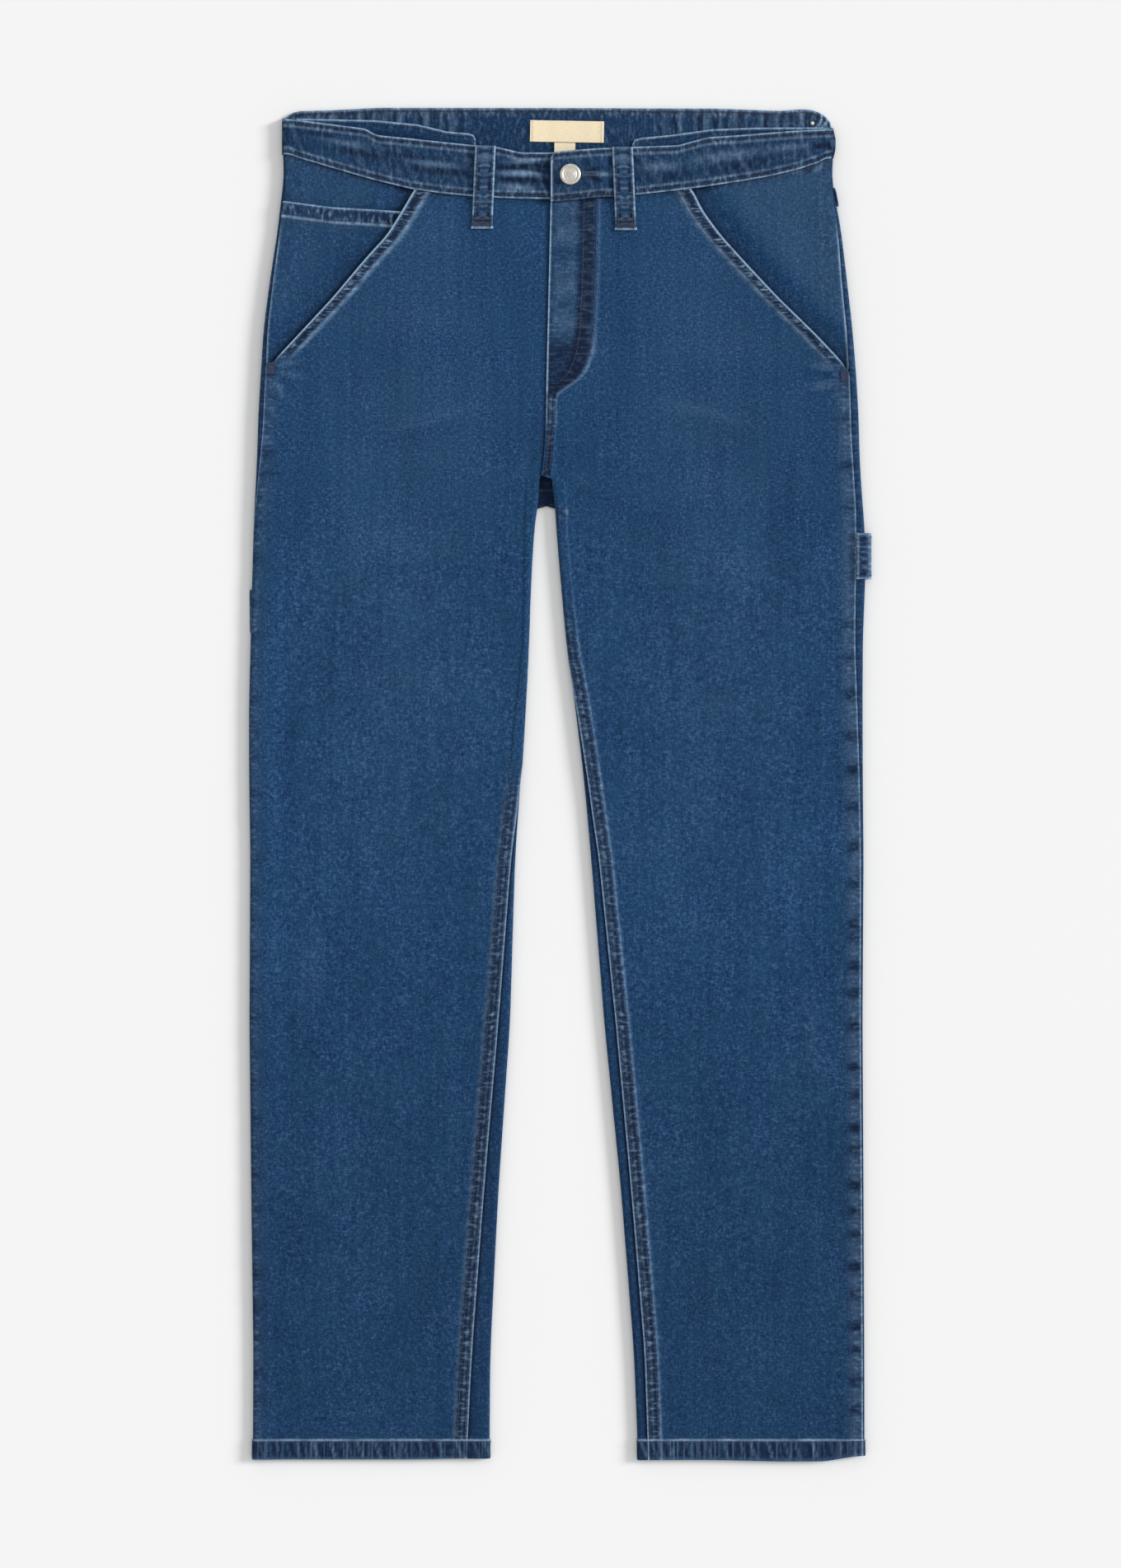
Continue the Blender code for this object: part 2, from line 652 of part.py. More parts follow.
def pocket_facing(side):
    """Side panel that shows inside the slant pocket mouth."""

    def depth_of(across, y):
        depth = mouth_depth(side, across, y)
        if side == RIGHT:
            below = 1.0 - smooth_step((y - coin_top(-across) - COIN_GAP) / 5.0)
            depth += COIN_LAYER * below
        return depth

    def level_row(level):
        return lambda x: front_y(side, level, x)

    def coin_line(x):
        return coin_top(x) + COIN_GAP

    def coin_row(part):
        return lambda x: FACING_LOW + (coin_line(x) - FACING_LOW) * part

    def over_coin_row(part):
        return lambda x: coin_line(x) + (waist_seam(x) - SEAM_GAP - 0.1 - coin_line(x)) * part

    if side == RIGHT:
        rows = [over_coin_row(part) for part in (1.0, 0.7, 0.33, 0.14, 0.0)]
        rows += [coin_row(part) for part in (0.829, 0.543, 0.258, 0.1, 0.0)]
    else:
        rows = [level_row(level) for level in (515.7, 508.0, 494.0, 481.0, 457.0, 416.0, 375.0, 350.0, 332.0)]
    columns = [0.0, 0.06, 0.13, 0.22, 0.32, 0.43, 0.54, 0.65, 0.76, 0.88, 1.0]
    outer = []
    inner = []
    for row_y in rows:
        out_row, in_row = facing_row(side, row_y, depth_of,
                                     lambda y: mouth(side, y) - FACING_UNDER, columns)
        outer.append(out_row)
        inner.append(in_row)
    add_wall("pocket_facing_{}".format(side_name(side)), outer, inner)


def coin_pocket():
    """Small pocket on the right facing, with a raised hem along its top."""

    def row_at(part, drop):
        return lambda x: COIN_LOW + (coin_top(x) - drop - COIN_LOW) * part

    rows = [row_at(1.0, drop) for drop in (0.0, 1.0, COIN_HEM, COIN_HEM + 1.2)]
    rows += [row_at(part, COIN_HEM + 1.2) for part in (0.92, 0.59, 0.258, 0.08, 0.0)]
    columns = [0.0, 0.07, 0.15, 0.25, 0.37, 0.5, 0.63, 0.76, 0.88, 1.0]
    outer = []
    inner = []
    for r, row_y in enumerate(rows):
        out_row, in_row = facing_row(RIGHT, row_y, lambda across, y: mouth_depth(RIGHT, across, y),
                                     lambda y: mouth(RIGHT, y) - COIN_UNDER, columns)
        if r in (1, 2):
            out_row = [(x, y, z + COIN_HEM_RAISE * smooth_step((-x - mouth(RIGHT, y) - 4.0) / 8.0))
                       for x, y, z in out_row]
        outer.append(out_row)
        inner.append(in_row)
    add_wall("coin_pocket", outer, inner)


def band_lap(x):
    """Rise of the left waistband where it laps over the right one."""
    over = BAND_THICKNESS + BAND_EDGE + LAY_GAP
    return over * (1.0 - smooth_step((x - LAP_UNDER - 2.0) / (LAP_RAMP - LAP_UNDER)))


def band_point(x, rise):
    """Height and outward direction of the front waistband's outside at X."""
    side = RIGHT if x < 0.0 else LEFT
    edge = 229.6 if side == RIGHT else 226.9
    radius = BAND_HEIGHT / 2.0
    beyond = abs(x) - (edge - radius)
    if beyond > 0.0:
        out_x = min(1.0, beyond / radius)
        out_z = math.sqrt(1.0 - out_x * out_x)
        return radius + radius * out_z, side * out_x, out_z
    return BAND_HEIGHT + rise, 0.0, 1.0


def band_grid(stations, bottoms, tops, rises):
    """Waistband between its seam and its top edge, with both long edges softly raised."""
    outer = []
    inner = []
    for x, bottom, top, rise in zip(stations, bottoms, tops, rises):
        height, out_x, out_z = band_point(x, rise)
        out_row = []
        in_row = []
        for part, inset, proud in ((0.0, 0.0, 0.1), (0.0, 1.4, BAND_EDGE), (0.0, 5.0, 0.0), (0.5, 0.0, 0.0),
                                   (1.0, -5.0, 0.0), (1.0, -1.4, BAND_EDGE), (1.0, 0.0, 0.1)):
            y = bottom + (top - bottom) * part + inset
            out_row.append((x + out_x * proud, y, height + out_z * proud))
            in_row.append((x - out_x * BAND_THICKNESS, y, height - out_z * BAND_THICKNESS))
        outer.append(out_row)
        inner.append(in_row)
    return outer, inner


def waistband_front(side):
    """Front waistband of one side, from the side fold to the button."""
    if side == RIGHT:
        stations = [-227.8, -226.4, -225.0, -223.0, -216.0, -208.0, -189.0, -160.0, -152.0, -134.0, -121.7, -96.0,
                    -70.7, -53.0, -32.6, -8.0, 10.0, LAP_UNDER]
        rises = [0.0] * len(stations)
    else:
        stations = [LAP_END, LAP_END + 1.4, LAP_END + 5.0, 13.6, LAP_UNDER + 2.0, 33.0, 38.0, LAP_RAMP + 2.0,
                    62.6, 80.0, 96.6, 108.0, 121.0, 151.6, 175.0, 197.0, 212.0, 219.0, 221.5, 223.4, 225.0]
        rises = [band_lap(x) for x in stations]
    bottoms = [waist_seam(x) for x in stations]
    tops = [lookup(WAIST_FRONT, "x", "top", x) for x in stations]
    if side == LEFT:
        tops[0] -= 4.6
        tops[1] -= 1.6
    outer, inner = band_grid(stations, bottoms, tops, rises)
    add_wall("waistband_front_{}".format(side_name(side)), outer, inner)


def waistband_back():
    """Back waistband: flat on the surface, round both side folds up to the front waistband."""
    radius = BAND_HEIGHT / 2.0
    right_edge = -229.6
    left_edge = 226.9
    outer = []
    inner = []

    def add_station(x, height, out_x, out_z, bottom, top):
        parts = (0.0, 0.33, 0.66, 1.0)
        outer.append([(x, bottom + (top - bottom) * part, height) for part in parts])
        inner.append([(x - out_x * BAND_THICKNESS, bottom + (top - bottom) * part,
                       height - out_z * BAND_THICKNESS) for part in parts])

    def add_fold(edge, direction, angles, bottom, tops):
        for degrees, top in zip(angles, tops):
            angle = math.radians(degrees)
            out_x = direction * math.cos(angle)
            out_z = math.sin(angle)
            x = edge - direction * radius + radius * out_x
            add_station(x, radius + radius * out_z, out_x, out_z, bottom, top)

    right_tops = [547.6, 547.8, 548.2, 549.6]
    add_fold(right_edge, RIGHT, [57.0, 25.0, -5.0, -45.0], WAIST_LEVEL[RIGHT], right_tops)
    for x in (-226.0, -223.0, -216.0, -188.0, -150.0, -75.0, 0.0, 75.0, 129.0, 181.0, 199.0, 206.0,
              214.9, 221.7):
        part = (x + 229.0) / 456.0
        bottom = WAIST_LEVEL[RIGHT] * (1.0 - part) + WAIST_LEVEL[LEFT] * part
        add_station(x, 0.0, 0.0, -1.0, bottom, lookup(BACK_TOP, "x", "top", x))
    left_tops = [541.6, 540.6, 540.2, 540.0]
    add_fold(left_edge, LEFT, [-45.0, -5.0, 25.0, 57.0], WAIST_LEVEL[LEFT], left_tops)
    add_wall("waistband_back", outer, inner)


# Inner facings of the front waistband: X and top edge, from the side to the corner at the loop
FACING_TOPS = {
    RIGHT: [(-217.6, 548.8), (-188.0, 548.2), (-153.0, 547.4), (-118.0, 544.0), (-93.8, 538.2),
            (-76.0, 536.6), (-72.0, 535.4), (-70.0, 531.6)],
    LEFT: [(59.4, 527.6), (61.4, 531.4), (66.0, 532.8), (90.4, 535.2), (125.0, 540.0), (160.0, 541.3),
           (212.0, 541.5)],
}
FACING_TOP_Z = 4.5
FACING_INSET = 7.0      # their lower edge is this far above the waist seam
FACING_EDGE = 1.5       # width of their top edge


def waistband_facing(side):
    """Inner facing behind the front waistband, which peeks out above it."""
    outer = []
    inner = []
    for x, top in FACING_TOPS[side]:
        bottom = waist_seam(x) + FACING_INSET
        ys = (bottom, (bottom + top) / 2.0, top - FACING_EDGE, top)
        outer.append([(x, y, FACING_TOP_Z) for y in ys])
        inner.append([(x, y, FACING_TOP_Z - CLOTH) for y in ys])
    add_wall("waistband_facing_{}".format(side_name(side)), outer, inner)


LOOP_WIDTH = 17.0
LOOP_THICKNESS = 1.5
# Belt loop rows: share of the length from the top, and height of its underside
LoopRow = namedtuple("LoopRow", "part under")
LOOP_ROWS = [
    LoopRow(0.0, 7.9),
    LoopRow(0.06, 8.5),
    LoopRow(0.25, 9.0),
    LoopRow(0.45, 8.8),
    LoopRow(0.6, 8.3),
    LoopRow(0.68, 7.4),
    LoopRow(0.8, 6.6),
    LoopRow(0.93, 6.45),
    LoopRow(1.0, 6.45),
]


def belt_loop_front(side, top_x, top_y, low_x, low_y):
    """Belt loop: a folded strap over the front waistband, tacked to the panel below it."""
    outer = []
    inner = []
    for row in LOOP_ROWS:
        x = top_x + (low_x - top_x) * row.part
        y = top_y + (low_y - top_y) * row.part
        half = LOOP_WIDTH / 2.0 + (0.7 if row.part > 0.95 else 0.0)
        places = ((-1.0, 0.0, -0.25), (-1.0, 1.3, 0.0), (0.0, 0.0, 0.15), (1.0, -1.3, 0.0), (1.0, 0.0, -0.25))
        outer.append([(x + part * half + inset, y, row.under + LOOP_THICKNESS + raised)
                      for part, inset, raised in places])
        inner.append([(x + part * half + inset, y, row.under) for part, inset, _ in places])
    add_wall("belt_loop_front_{}".format(side_name(side)), outer, inner)


def belt_loop_side():
    """End of the next loop round, on the wearer's left side fold."""
    outer = []
    inner = []
    for y, proud in ((491.5, 1.2), (488.0, 1.7), (480.0, 1.9), (476.6, 1.9)):
        section = Section(LEFT, y)
        out_row = []
        in_row = []
        for degrees in (-32.0, -16.0, 0.0, 16.0, 32.0):
            angle = math.radians(degrees)
            across, height, out_x, out_z = section.outer_arc(angle * section.outer_radius)
            out_row.append((across + out_x * proud, y, height + out_z * proud))
            in_row.append((across + out_x * PATCH_GAP, y, height + out_z * PATCH_GAP))
        outer.append(out_row)
        inner.append(in_row)
    add_wall("belt_loop_side_left", outer, inner)


# Hammer loop: its middle line round the edge of the leg, from the outseam to under the leg
HammerPoint = namedtuple("HammerPoint", "x z")
HAMMER_PATH = [
    HammerPoint(243.6, 7.9),
    HammerPoint(247.6, 8.0),
    HammerPoint(251.6, 7.2),
    HammerPoint(254.4, 5.4),
    HammerPoint(255.8, 3.4),
    HammerPoint(254.2, 1.7),
    HammerPoint(252.0, 0.9),
    HammerPoint(248.0, 0.9),
    HammerPoint(225.0, 0.9),
    HammerPoint(198.0, 0.9),
]
# Its rows: Y, and half its thickness, which is less at both edges
HammerRow = namedtuple("HammerRow", "y half")
HAMMER_ROWS = [
    HammerRow(207.0, 0.7),
    HammerRow(205.4, 0.9),
    HammerRow(188.0, 0.9),
    HammerRow(170.4, 0.9),
    HammerRow(169.0, 0.7),
]


def strap_sides(path, half):
    """Outer and inner side of a strap along its middle line, as pairs of X and height."""
    outside = []
    inside = []
    for k, point in enumerate(path):
        before = path[max(k - 1, 0)]
        after = path[min(k + 1, len(path) - 1)]
        run = math.hypot(after.x - before.x, after.z - before.z)
        normal_x = -(after.z - before.z) / run
        normal_z = (after.x - before.x) / run
        outside.append((point.x + normal_x * half, point.z + normal_z * half))
        inside.append((point.x - normal_x * half, point.z - normal_z * half))
    return outside, inside


def hammer_loop():
    """Wide strap that comes out of the outseam and goes round under the leg."""
    outer = []
    inner = []
    for row in HAMMER_ROWS:
        outside, inside = strap_sides(HAMMER_PATH, row.half)
        outer.append([(x, row.y, z) for x, z in outside])
        inner.append([(x, row.y, z) for x, z in inside])
    add_wall("hammer_loop", outer, inner)


# Tool pocket: how far across it reaches at each Y
ToolPocketRow = namedtuple("ToolPocketRow", "y outer inner")
TOOL_POCKET_ROWS = [
    ToolPocketRow(160.6, 256.4, 141.0),
    ToolPocketRow(158.6, 256.6, 141.0),
    ToolPocketRow(126.0, 256.2, 141.0),
    ToolPocketRow(118.0, 253.4, 141.0),
    ToolPocketRow(0.0, 250.0, 141.0),
    ToolPocketRow(-29.0, 226.0, 165.0),
]
TOOL_POCKET_THICKNESS = 1.15


def tool_pocket():
    """Patch pocket under the back of the right leg; its top corner shows at the edge."""
    outer = []
    inner = []
    for row in TOOL_POCKET_ROWS:
        places = [row.outer] + spread(row.outer, row.inner, 3) + [row.inner]
        outer.append([(-across, row.y, 0.0) for across in places])
        inner.append([(-across, row.y, TOOL_POCKET_THICKNESS) for across in places])
    add_wall("tool_pocket", outer, inner)


# Woven label and its tab, before they are tilted together
Tape = namedtuple("Tape", "name low_x high_x low_y high_y")
TAPES = [
    Tape("label", -25.0, 35.8, 529.6, 547.2),
    Tape("size_tab", -4.8, 12.4, 508.0, 529.0),
]
TAPE_TILT = math.radians(-1.0)
TAPE_TURN_Y = 538.0
TAPE_LOW = 2.7
TAPE_HIGH = 3.5


def tilted(x, y):
    """A place on the label after its tilt."""
    rise = y - TAPE_TURN_Y
    return (x * math.cos(TAPE_TILT) - rise * math.sin(TAPE_TILT),
            TAPE_TURN_Y + x * math.sin(TAPE_TILT) + rise * math.cos(TAPE_TILT))


def label():
    """Woven label inside the back waistband, and its tab; both are bare."""
    for tape in TAPES:
        rows = [[tilted(x, y) for x in (tape.low_x, tape.high_x)] for y in (tape.low_y, tape.high_y)]
        outer = [[(x, y, TAPE_HIGH) for x, y in row] for row in rows]
        inner = [[(x, y, TAPE_LOW) for x, y in row] for row in rows]
        add_wall(tape.name, outer, inner, "woven_label")


# Tack button profile: radius and height above the waistband
ButtonRing = namedtuple("ButtonRing", "radius height")
BUTTON_RINGS = [
    ButtonRing(4.2, 0.0),
    ButtonRing(4.2, 0.9),
    ButtonRing(8.2, 1.1),
    ButtonRing(8.65, 1.7),
    ButtonRing(8.2, 2.5),
    ButtonRing(7.0, 2.9),
    ButtonRing(5.6, 2.5),
    ButtonRing(3.0, 2.9),
]
BUTTON_SIDES = 24


def waist_button():
    """Metal tack button, turned from its profile."""
    bm = bmesh.new()
    base = BAND_HEIGHT + band_lap(BUTTON_X) + LAY_GAP
    rings = []
    for ring in BUTTON_RINGS:
        points = []
        for k in range(BUTTON_SIDES):
            angle = 2.0 * math.pi * k / BUTTON_SIDES
            points.append(bm.verts.new((BUTTON_X + ring.radius * math.cos(angle),
                                        BUTTON_Y + ring.radius * math.sin(angle), base + ring.height)))
        rings.append(points)
    for low, high in zip(rings, rings[1:]):
        for k in range(BUTTON_SIDES):
            after = (k + 1) % BUTTON_SIDES
            bm.faces.new((low[k], low[after], high[after], high[k]))
    bm.faces.new(rings[0])
    bm.faces.new(rings[-1])
    add_object("waist_button", bm, "metal")


def build():
    for old in list(bpy.data.objects):
        bpy.data.objects.remove(old, do_unlink=True)
    for side in (RIGHT, LEFT):
        front_leg(side)
        back_leg(side)
        pocket_facing(side)
        waistband_front(side)
        waistband_facing(side)
    coin_pocket()
    waistband_back()
    belt_loop_front(RIGHT, -61.7, 525.6, -64.6, 457.6)
    belt_loop_front(LEFT, 51.0, 524.6, 53.9, 456.4)
    belt_loop_side()
    hammer_loop()
    tool_pocket()
    label()
    waist_button()


build()
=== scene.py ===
"""Carpenter pants in blue denim, laid flat on their back: cloth, thread, metal, light and camera.

Sizes are millimetres, in the frame of the solids: X runs from the wearer's right to the wearer's
left, Y from the hems to the waist, Z up from the surface. Each cloth piece is a thin shell on the
form of its solid, sampled finely, with its creases, puckers, rolled edges and abrasion. Its colour
also carries painted shade, and painted highlights on crease ridges.
"""

import math
from collections import namedtuple

import bpy
import numpy as np
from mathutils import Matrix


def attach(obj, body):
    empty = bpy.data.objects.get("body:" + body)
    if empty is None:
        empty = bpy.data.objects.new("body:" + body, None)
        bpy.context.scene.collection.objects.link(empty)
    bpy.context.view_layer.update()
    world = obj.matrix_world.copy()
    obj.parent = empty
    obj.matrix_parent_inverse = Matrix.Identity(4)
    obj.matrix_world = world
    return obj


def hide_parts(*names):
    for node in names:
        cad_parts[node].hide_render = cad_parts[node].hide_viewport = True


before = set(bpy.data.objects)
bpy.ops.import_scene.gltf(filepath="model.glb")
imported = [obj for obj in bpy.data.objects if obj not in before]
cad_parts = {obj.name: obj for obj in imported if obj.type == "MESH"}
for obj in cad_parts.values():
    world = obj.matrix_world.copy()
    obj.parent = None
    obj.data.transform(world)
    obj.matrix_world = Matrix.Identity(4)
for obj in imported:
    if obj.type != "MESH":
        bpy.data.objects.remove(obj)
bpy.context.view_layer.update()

MM = 0.001
RIGHT = -1
LEFT = 1

CLOTH = 1.2             # one layer of denim
SEAM_GAP = 0.3          # between pieces that are sewn together
LAY_GAP = 0.35          # between pieces that lie on each other
BAND_THICKNESS = 2.4    # the waistband is two layers of denim
BAND_HEIGHT = 7.2       # top of the front waistband above the surface
BAND_EDGE = 0.45        # its stitched edges stand this much proud
PATCH_GAP = 0.5         # under a strap or patch on a panel
CENTRE_BACK = -11.5     # X of the centre back seam
WAIST_LEVEL = {RIGHT: 519.2, LEFT: 516.1}
BACK_WAIST = 517.6
BEND_FROM = 330.0       # above this Y the front rows bend down to the waist seam
CROTCH_OPEN = 254.5     # below this Y the front panels part
CROTCH = 228.0          # below this Y the legs are separate tubes
EDGE_EASE = 28.0        # the thicker edges flatten out over this width
HEM_TOP = -539.5
HEM_HEIGHT = 17.0
HEM_LOW = {RIGHT: -556.4, LEFT: -556.8}
RELIEF = 0.8            # a turned or felled edge stands this much proud

ROW_STEP = 3.0          # spacing of the cloth's rows and columns
HEM_STEP = 2.0
COLUMN_COUNT = 72       # columns over the plain middle of a front panel

OuterEdge = namedtuple("OuterEdge", "y right left")
OUTER_EDGE = [
    OuterEdge(521.0, 229.0, 225.6),
    OuterEdge(508.0, 227.8, 223.2),
    OuterEdge(494.0, 228.5, 224.4),
    OuterEdge(481.0, 230.5, 226.8),
    OuterEdge(457.0, 233.0, 231.2),
    OuterEdge(416.0, 239.4, 236.0),
    OuterEdge(375.0, 244.8, 240.7),
    OuterEdge(341.0, 246.8, 243.4),
    OuterEdge(307.0, 248.9, 245.5),
    OuterEdge(267.0, 250.2, 246.6),
    OuterEdge(239.0, 251.6, 248.4),
    OuterEdge(212.0, 252.9, 250.6),
    OuterEdge(188.0, 253.6, 251.2),
    OuterEdge(163.0, 254.3, 251.0),
    OuterEdge(117.0, 255.4, 249.2),
    OuterEdge(63.0, 256.7, 249.0),
    OuterEdge(8.0, 256.6, 249.2),
    OuterEdge(-60.0, 255.7, 249.8),
    OuterEdge(-196.0, 256.4, 249.0),
    OuterEdge(-332.0, 255.0, 249.8),
    OuterEdge(-468.0, 253.2, 250.4),
    OuterEdge(-558.0, 253.6, 250.6),
]

InnerEdge = namedtuple("InnerEdge", "y right left")
INNER_EDGE = [
    InnerEdge(484.0, -8.2, -8.2),
    InnerEdge(330.0, -11.8, -11.8),
    InnerEdge(300.0, -12.2, -12.2),
    InnerEdge(280.0, -13.2, -13.2),
    InnerEdge(262.0, -14.6, -14.6),
    InnerEdge(254.5, -16.2, -16.2),
    InnerEdge(252.0, -16.9, -7.4),
    InnerEdge(230.0, -19.4, -3.9),
    InnerEdge(212.0, -22.4, -2.7),
    InnerEdge(185.0, -23.8, -0.7),
    InnerEdge(163.0, -25.2, 1.4),
    InnerEdge(117.0, -26.5, 5.4),
    InnerEdge(63.0, -29.2, 12.2),
    InnerEdge(8.0, -32.6, 19.0),
    InnerEdge(-60.0, -37.4, 25.2),
    InnerEdge(-196.0, -41.5, 36.0),
    InnerEdge(-332.0, -51.0, 49.6),
    InnerEdge(-468.0, -57.8, 60.5),
    InnerEdge(-558.0, -58.6, 64.0),
]

# Outseam and inseam: how far in from the edge they show on top; below 0 they are wrapped under
Seam = namedtuple("Seam", "y right_outer left_outer right_inner left_inner")
SEAMS = [
    Seam(521.0, 1.6, 1.6, 0.0, 0.0),
    Seam(481.0, 1.6, 1.8, 0.0, 0.0),
    Seam(457.0, 1.8, 2.6, 0.0, 0.0),
    Seam(416.0, 2.6, 4.4, 0.0, 0.0),
    Seam(345.5, 3.8, 5.4, 0.0, 0.0),
    Seam(296.0, 4.2, 6.4, 0.0, 0.0),
    Seam(262.0, 2.2, 5.6, 0.0, 0.0),
    Seam(228.0, 0.6, 5.8, -0.4, -0.4),
    Seam(212.0, 0.0, 6.8, -2.0, -1.5),
    Seam(160.0, -1.0, 7.6, -5.0, -1.5),
    Seam(117.0, -1.0, 6.4, -5.0, -0.5),
    Seam(63.0, -1.0, 4.4, -2.0, 1.0),
    Seam(8.0, -1.0, 2.8, 0.3, 2.6),
    Seam(-30.0, -1.0, 2.4, 1.4, 4.2),
    Seam(-60.0, -1.0, 2.1, 3.0, 6.0),
    Seam(-196.0, -1.0, 1.6, 9.4, 9.2),
    Seam(-332.0, -1.0, 1.4, 11.6, 8.2),
    Seam(-468.0, -1.0, 1.4, 15.0, 8.6),
    Seam(-558.0, -1.0, 1.4, 18.6, 8.2),
]

# Height of the top surface: at the middle of a leg, at its outer fold and at its inner fold
Height = namedtuple("Height", "y middle outer inner")
HEIGHTS = [
    Height(521.0, 6.0, 7.0, 6.0),
    Height(300.0, 6.0, 7.4, 6.0),
    Height(228.0, 5.7, 6.9, 5.8),
    Height(140.0, 5.0, 6.3, 5.6),
    Height(-40.0, 4.8, 6.2, 5.6),
    Height(-500.0, 4.6, 6.0, 5.4),
    Height(-560.0, 4.4, 5.6, 5.2),
]

Waist = namedtuple("Waist", "x seam top")
WAIST_FRONT = [
    Waist(-229.0, 519.6, 548.2),
    Waist(-223.0, 519.2, 547.8),
    Waist(-216.0, 516.6, 547.2),
    Waist(-208.0, 513.8, 546.2),
    Waist(-189.0, 508.0, 543.8),
    Waist(-160.0, 499.6, 540.0),
    Waist(-152.0, 497.4, 534.8),
    Waist(-121.7, 490.2, 531.8),
    Waist(-96.0, 486.6, 529.0),
    Waist(-70.7, 484.2, 526.4),
    Waist(-53.0, 483.2, 525.2),
    Waist(-32.6, 482.4, 520.4),
    Waist(-8.0, 482.2, 520.4),
    Waist(13.6, 482.6, 522.2),
    Waist(41.5, 484.0, 524.3),
    Waist(62.6, 485.6, 525.2),
    Waist(96.6, 489.4, 526.3),
    Waist(121.0, 492.6, 533.0),
    Waist(151.6, 497.2, 535.0),
    Waist(175.0, 501.4, 537.0),
    Waist(197.0, 506.8, 538.6),
    Waist(212.0, 512.2, 539.2),
    Waist(219.0, 515.4, 539.4),
    Waist(221.5, 516.1, 539.5),
    Waist(226.0, 516.2, 539.6),
]

BackTop = namedtuple("BackTop", "x top")
BACK_TOP = [
    BackTop(-229.3, 547.8),
    BackTop(-226.5, 549.5),
    BackTop(-223.0, 553.0),
    BackTop(-216.0, 555.2),
    BackTop(-188.0, 556.0),
    BackTop(-150.0, 558.0),
    BackTop(0.0, 557.8),
    BackTop(129.0, 557.3),
    BackTop(181.0, 555.4),
    BackTop(199.0, 556.8),
    BackTop(206.0, 556.4),
    BackTop(214.9, 553.4),
    BackTop(221.7, 547.4),
    BackTop(225.0, 541.0),
    BackTop(226.8, 540.0),
]

Mouth = namedtuple("Mouth", "y right left")
MOUTH = [
    Mouth(500.0, 113.0, 99.0),
    Mouth(490.0, 120.4, 108.7),
    Mouth(472.3, 130.7, 117.4),
    Mouth(452.5, 143.0, 132.0),
    Mouth(432.7, 161.2, 149.8),
    Mouth(401.3, 187.5, 179.2),
    Mouth(369.4, 217.0, 211.9),
    Mouth(347.0, 237.7, 232.6),
    Mouth(341.0, 238.6, 236.4),
]
MOUTH_END = {RIGHT: 347.0, LEFT: 341.0}
MOUTH_HEM = 11.0
FACING_UNDER = 18.0

# Band of stitched layers beside the fly, the rise seam and the inseam, on the front panels
Layers = namedtuple("Layers", "y right_width left_width right_raise left_raise")
INNER_LAYERS = [
    Layers(484.0, 10.0, 40.0, 0.0, 1.8),
    Layers(423.0, 10.0, 40.4, 0.0, 1.2),
    Layers(371.0, 10.0, 39.0, 0.0, 0.9),
    Layers(356.0, 10.0, 36.9, 0.0, 0.8),
    Layers(345.0, 10.0, 33.4, 0.0, 0.8),
    Layers(337.0, 10.0, 29.4, 0.0, 0.8),
    Layers(330.0, 10.0, 21.0, 0.0, 0.8),
    Layers(324.5, 10.0, 12.0, 0.0, 0.8),
    Layers(321.0, 10.0, 8.4, 0.0, 0.8),
    Layers(262.0, 10.0, 8.2, 0.0, 0.8),
    Layers(245.0, 10.6, 10.0, 0.6, 0.8),
    Layers(228.0, 11.0, 11.0, 0.8, 0.8),
    Layers(-560.0, 11.0, 11.0, 0.8, 0.8),
]

# Soft folds pressed into the top of the cloth
Fold = namedtuple("Fold", "x y angle length width rise")
FOLDS = [
    Fold(-62.0, 262.0, 24.0, 56.0, 9.0, 1.0),
    Fold(-84.0, 226.0, 12.0, 64.0, 10.0, 0.8),
    Fold(52.0, 266.0, -22.0, 60.0, 9.0, 1.0),
    Fold(78.0, 222.0, -14.0, 70.0, 10.0, 0.8),
    Fold(-128.0, 96.0, -18.0, 60.0, 12.0, 0.8),
    Fold(132.0, 60.0, 20.0, 66.0, 12.0, 0.8),
    Fold(-170.0, -40.0, 64.0, 90.0, 16.0, 0.6),
    Fold(172.0, -96.0, -66.0, 90.0, 16.0, 0.6),
    Fold(-140.0, -270.0, 76.0, 120.0, 17.0, 0.5),
    Fold(150.0, -330.0, -80.0, 120.0, 17.0, 0.5),
]

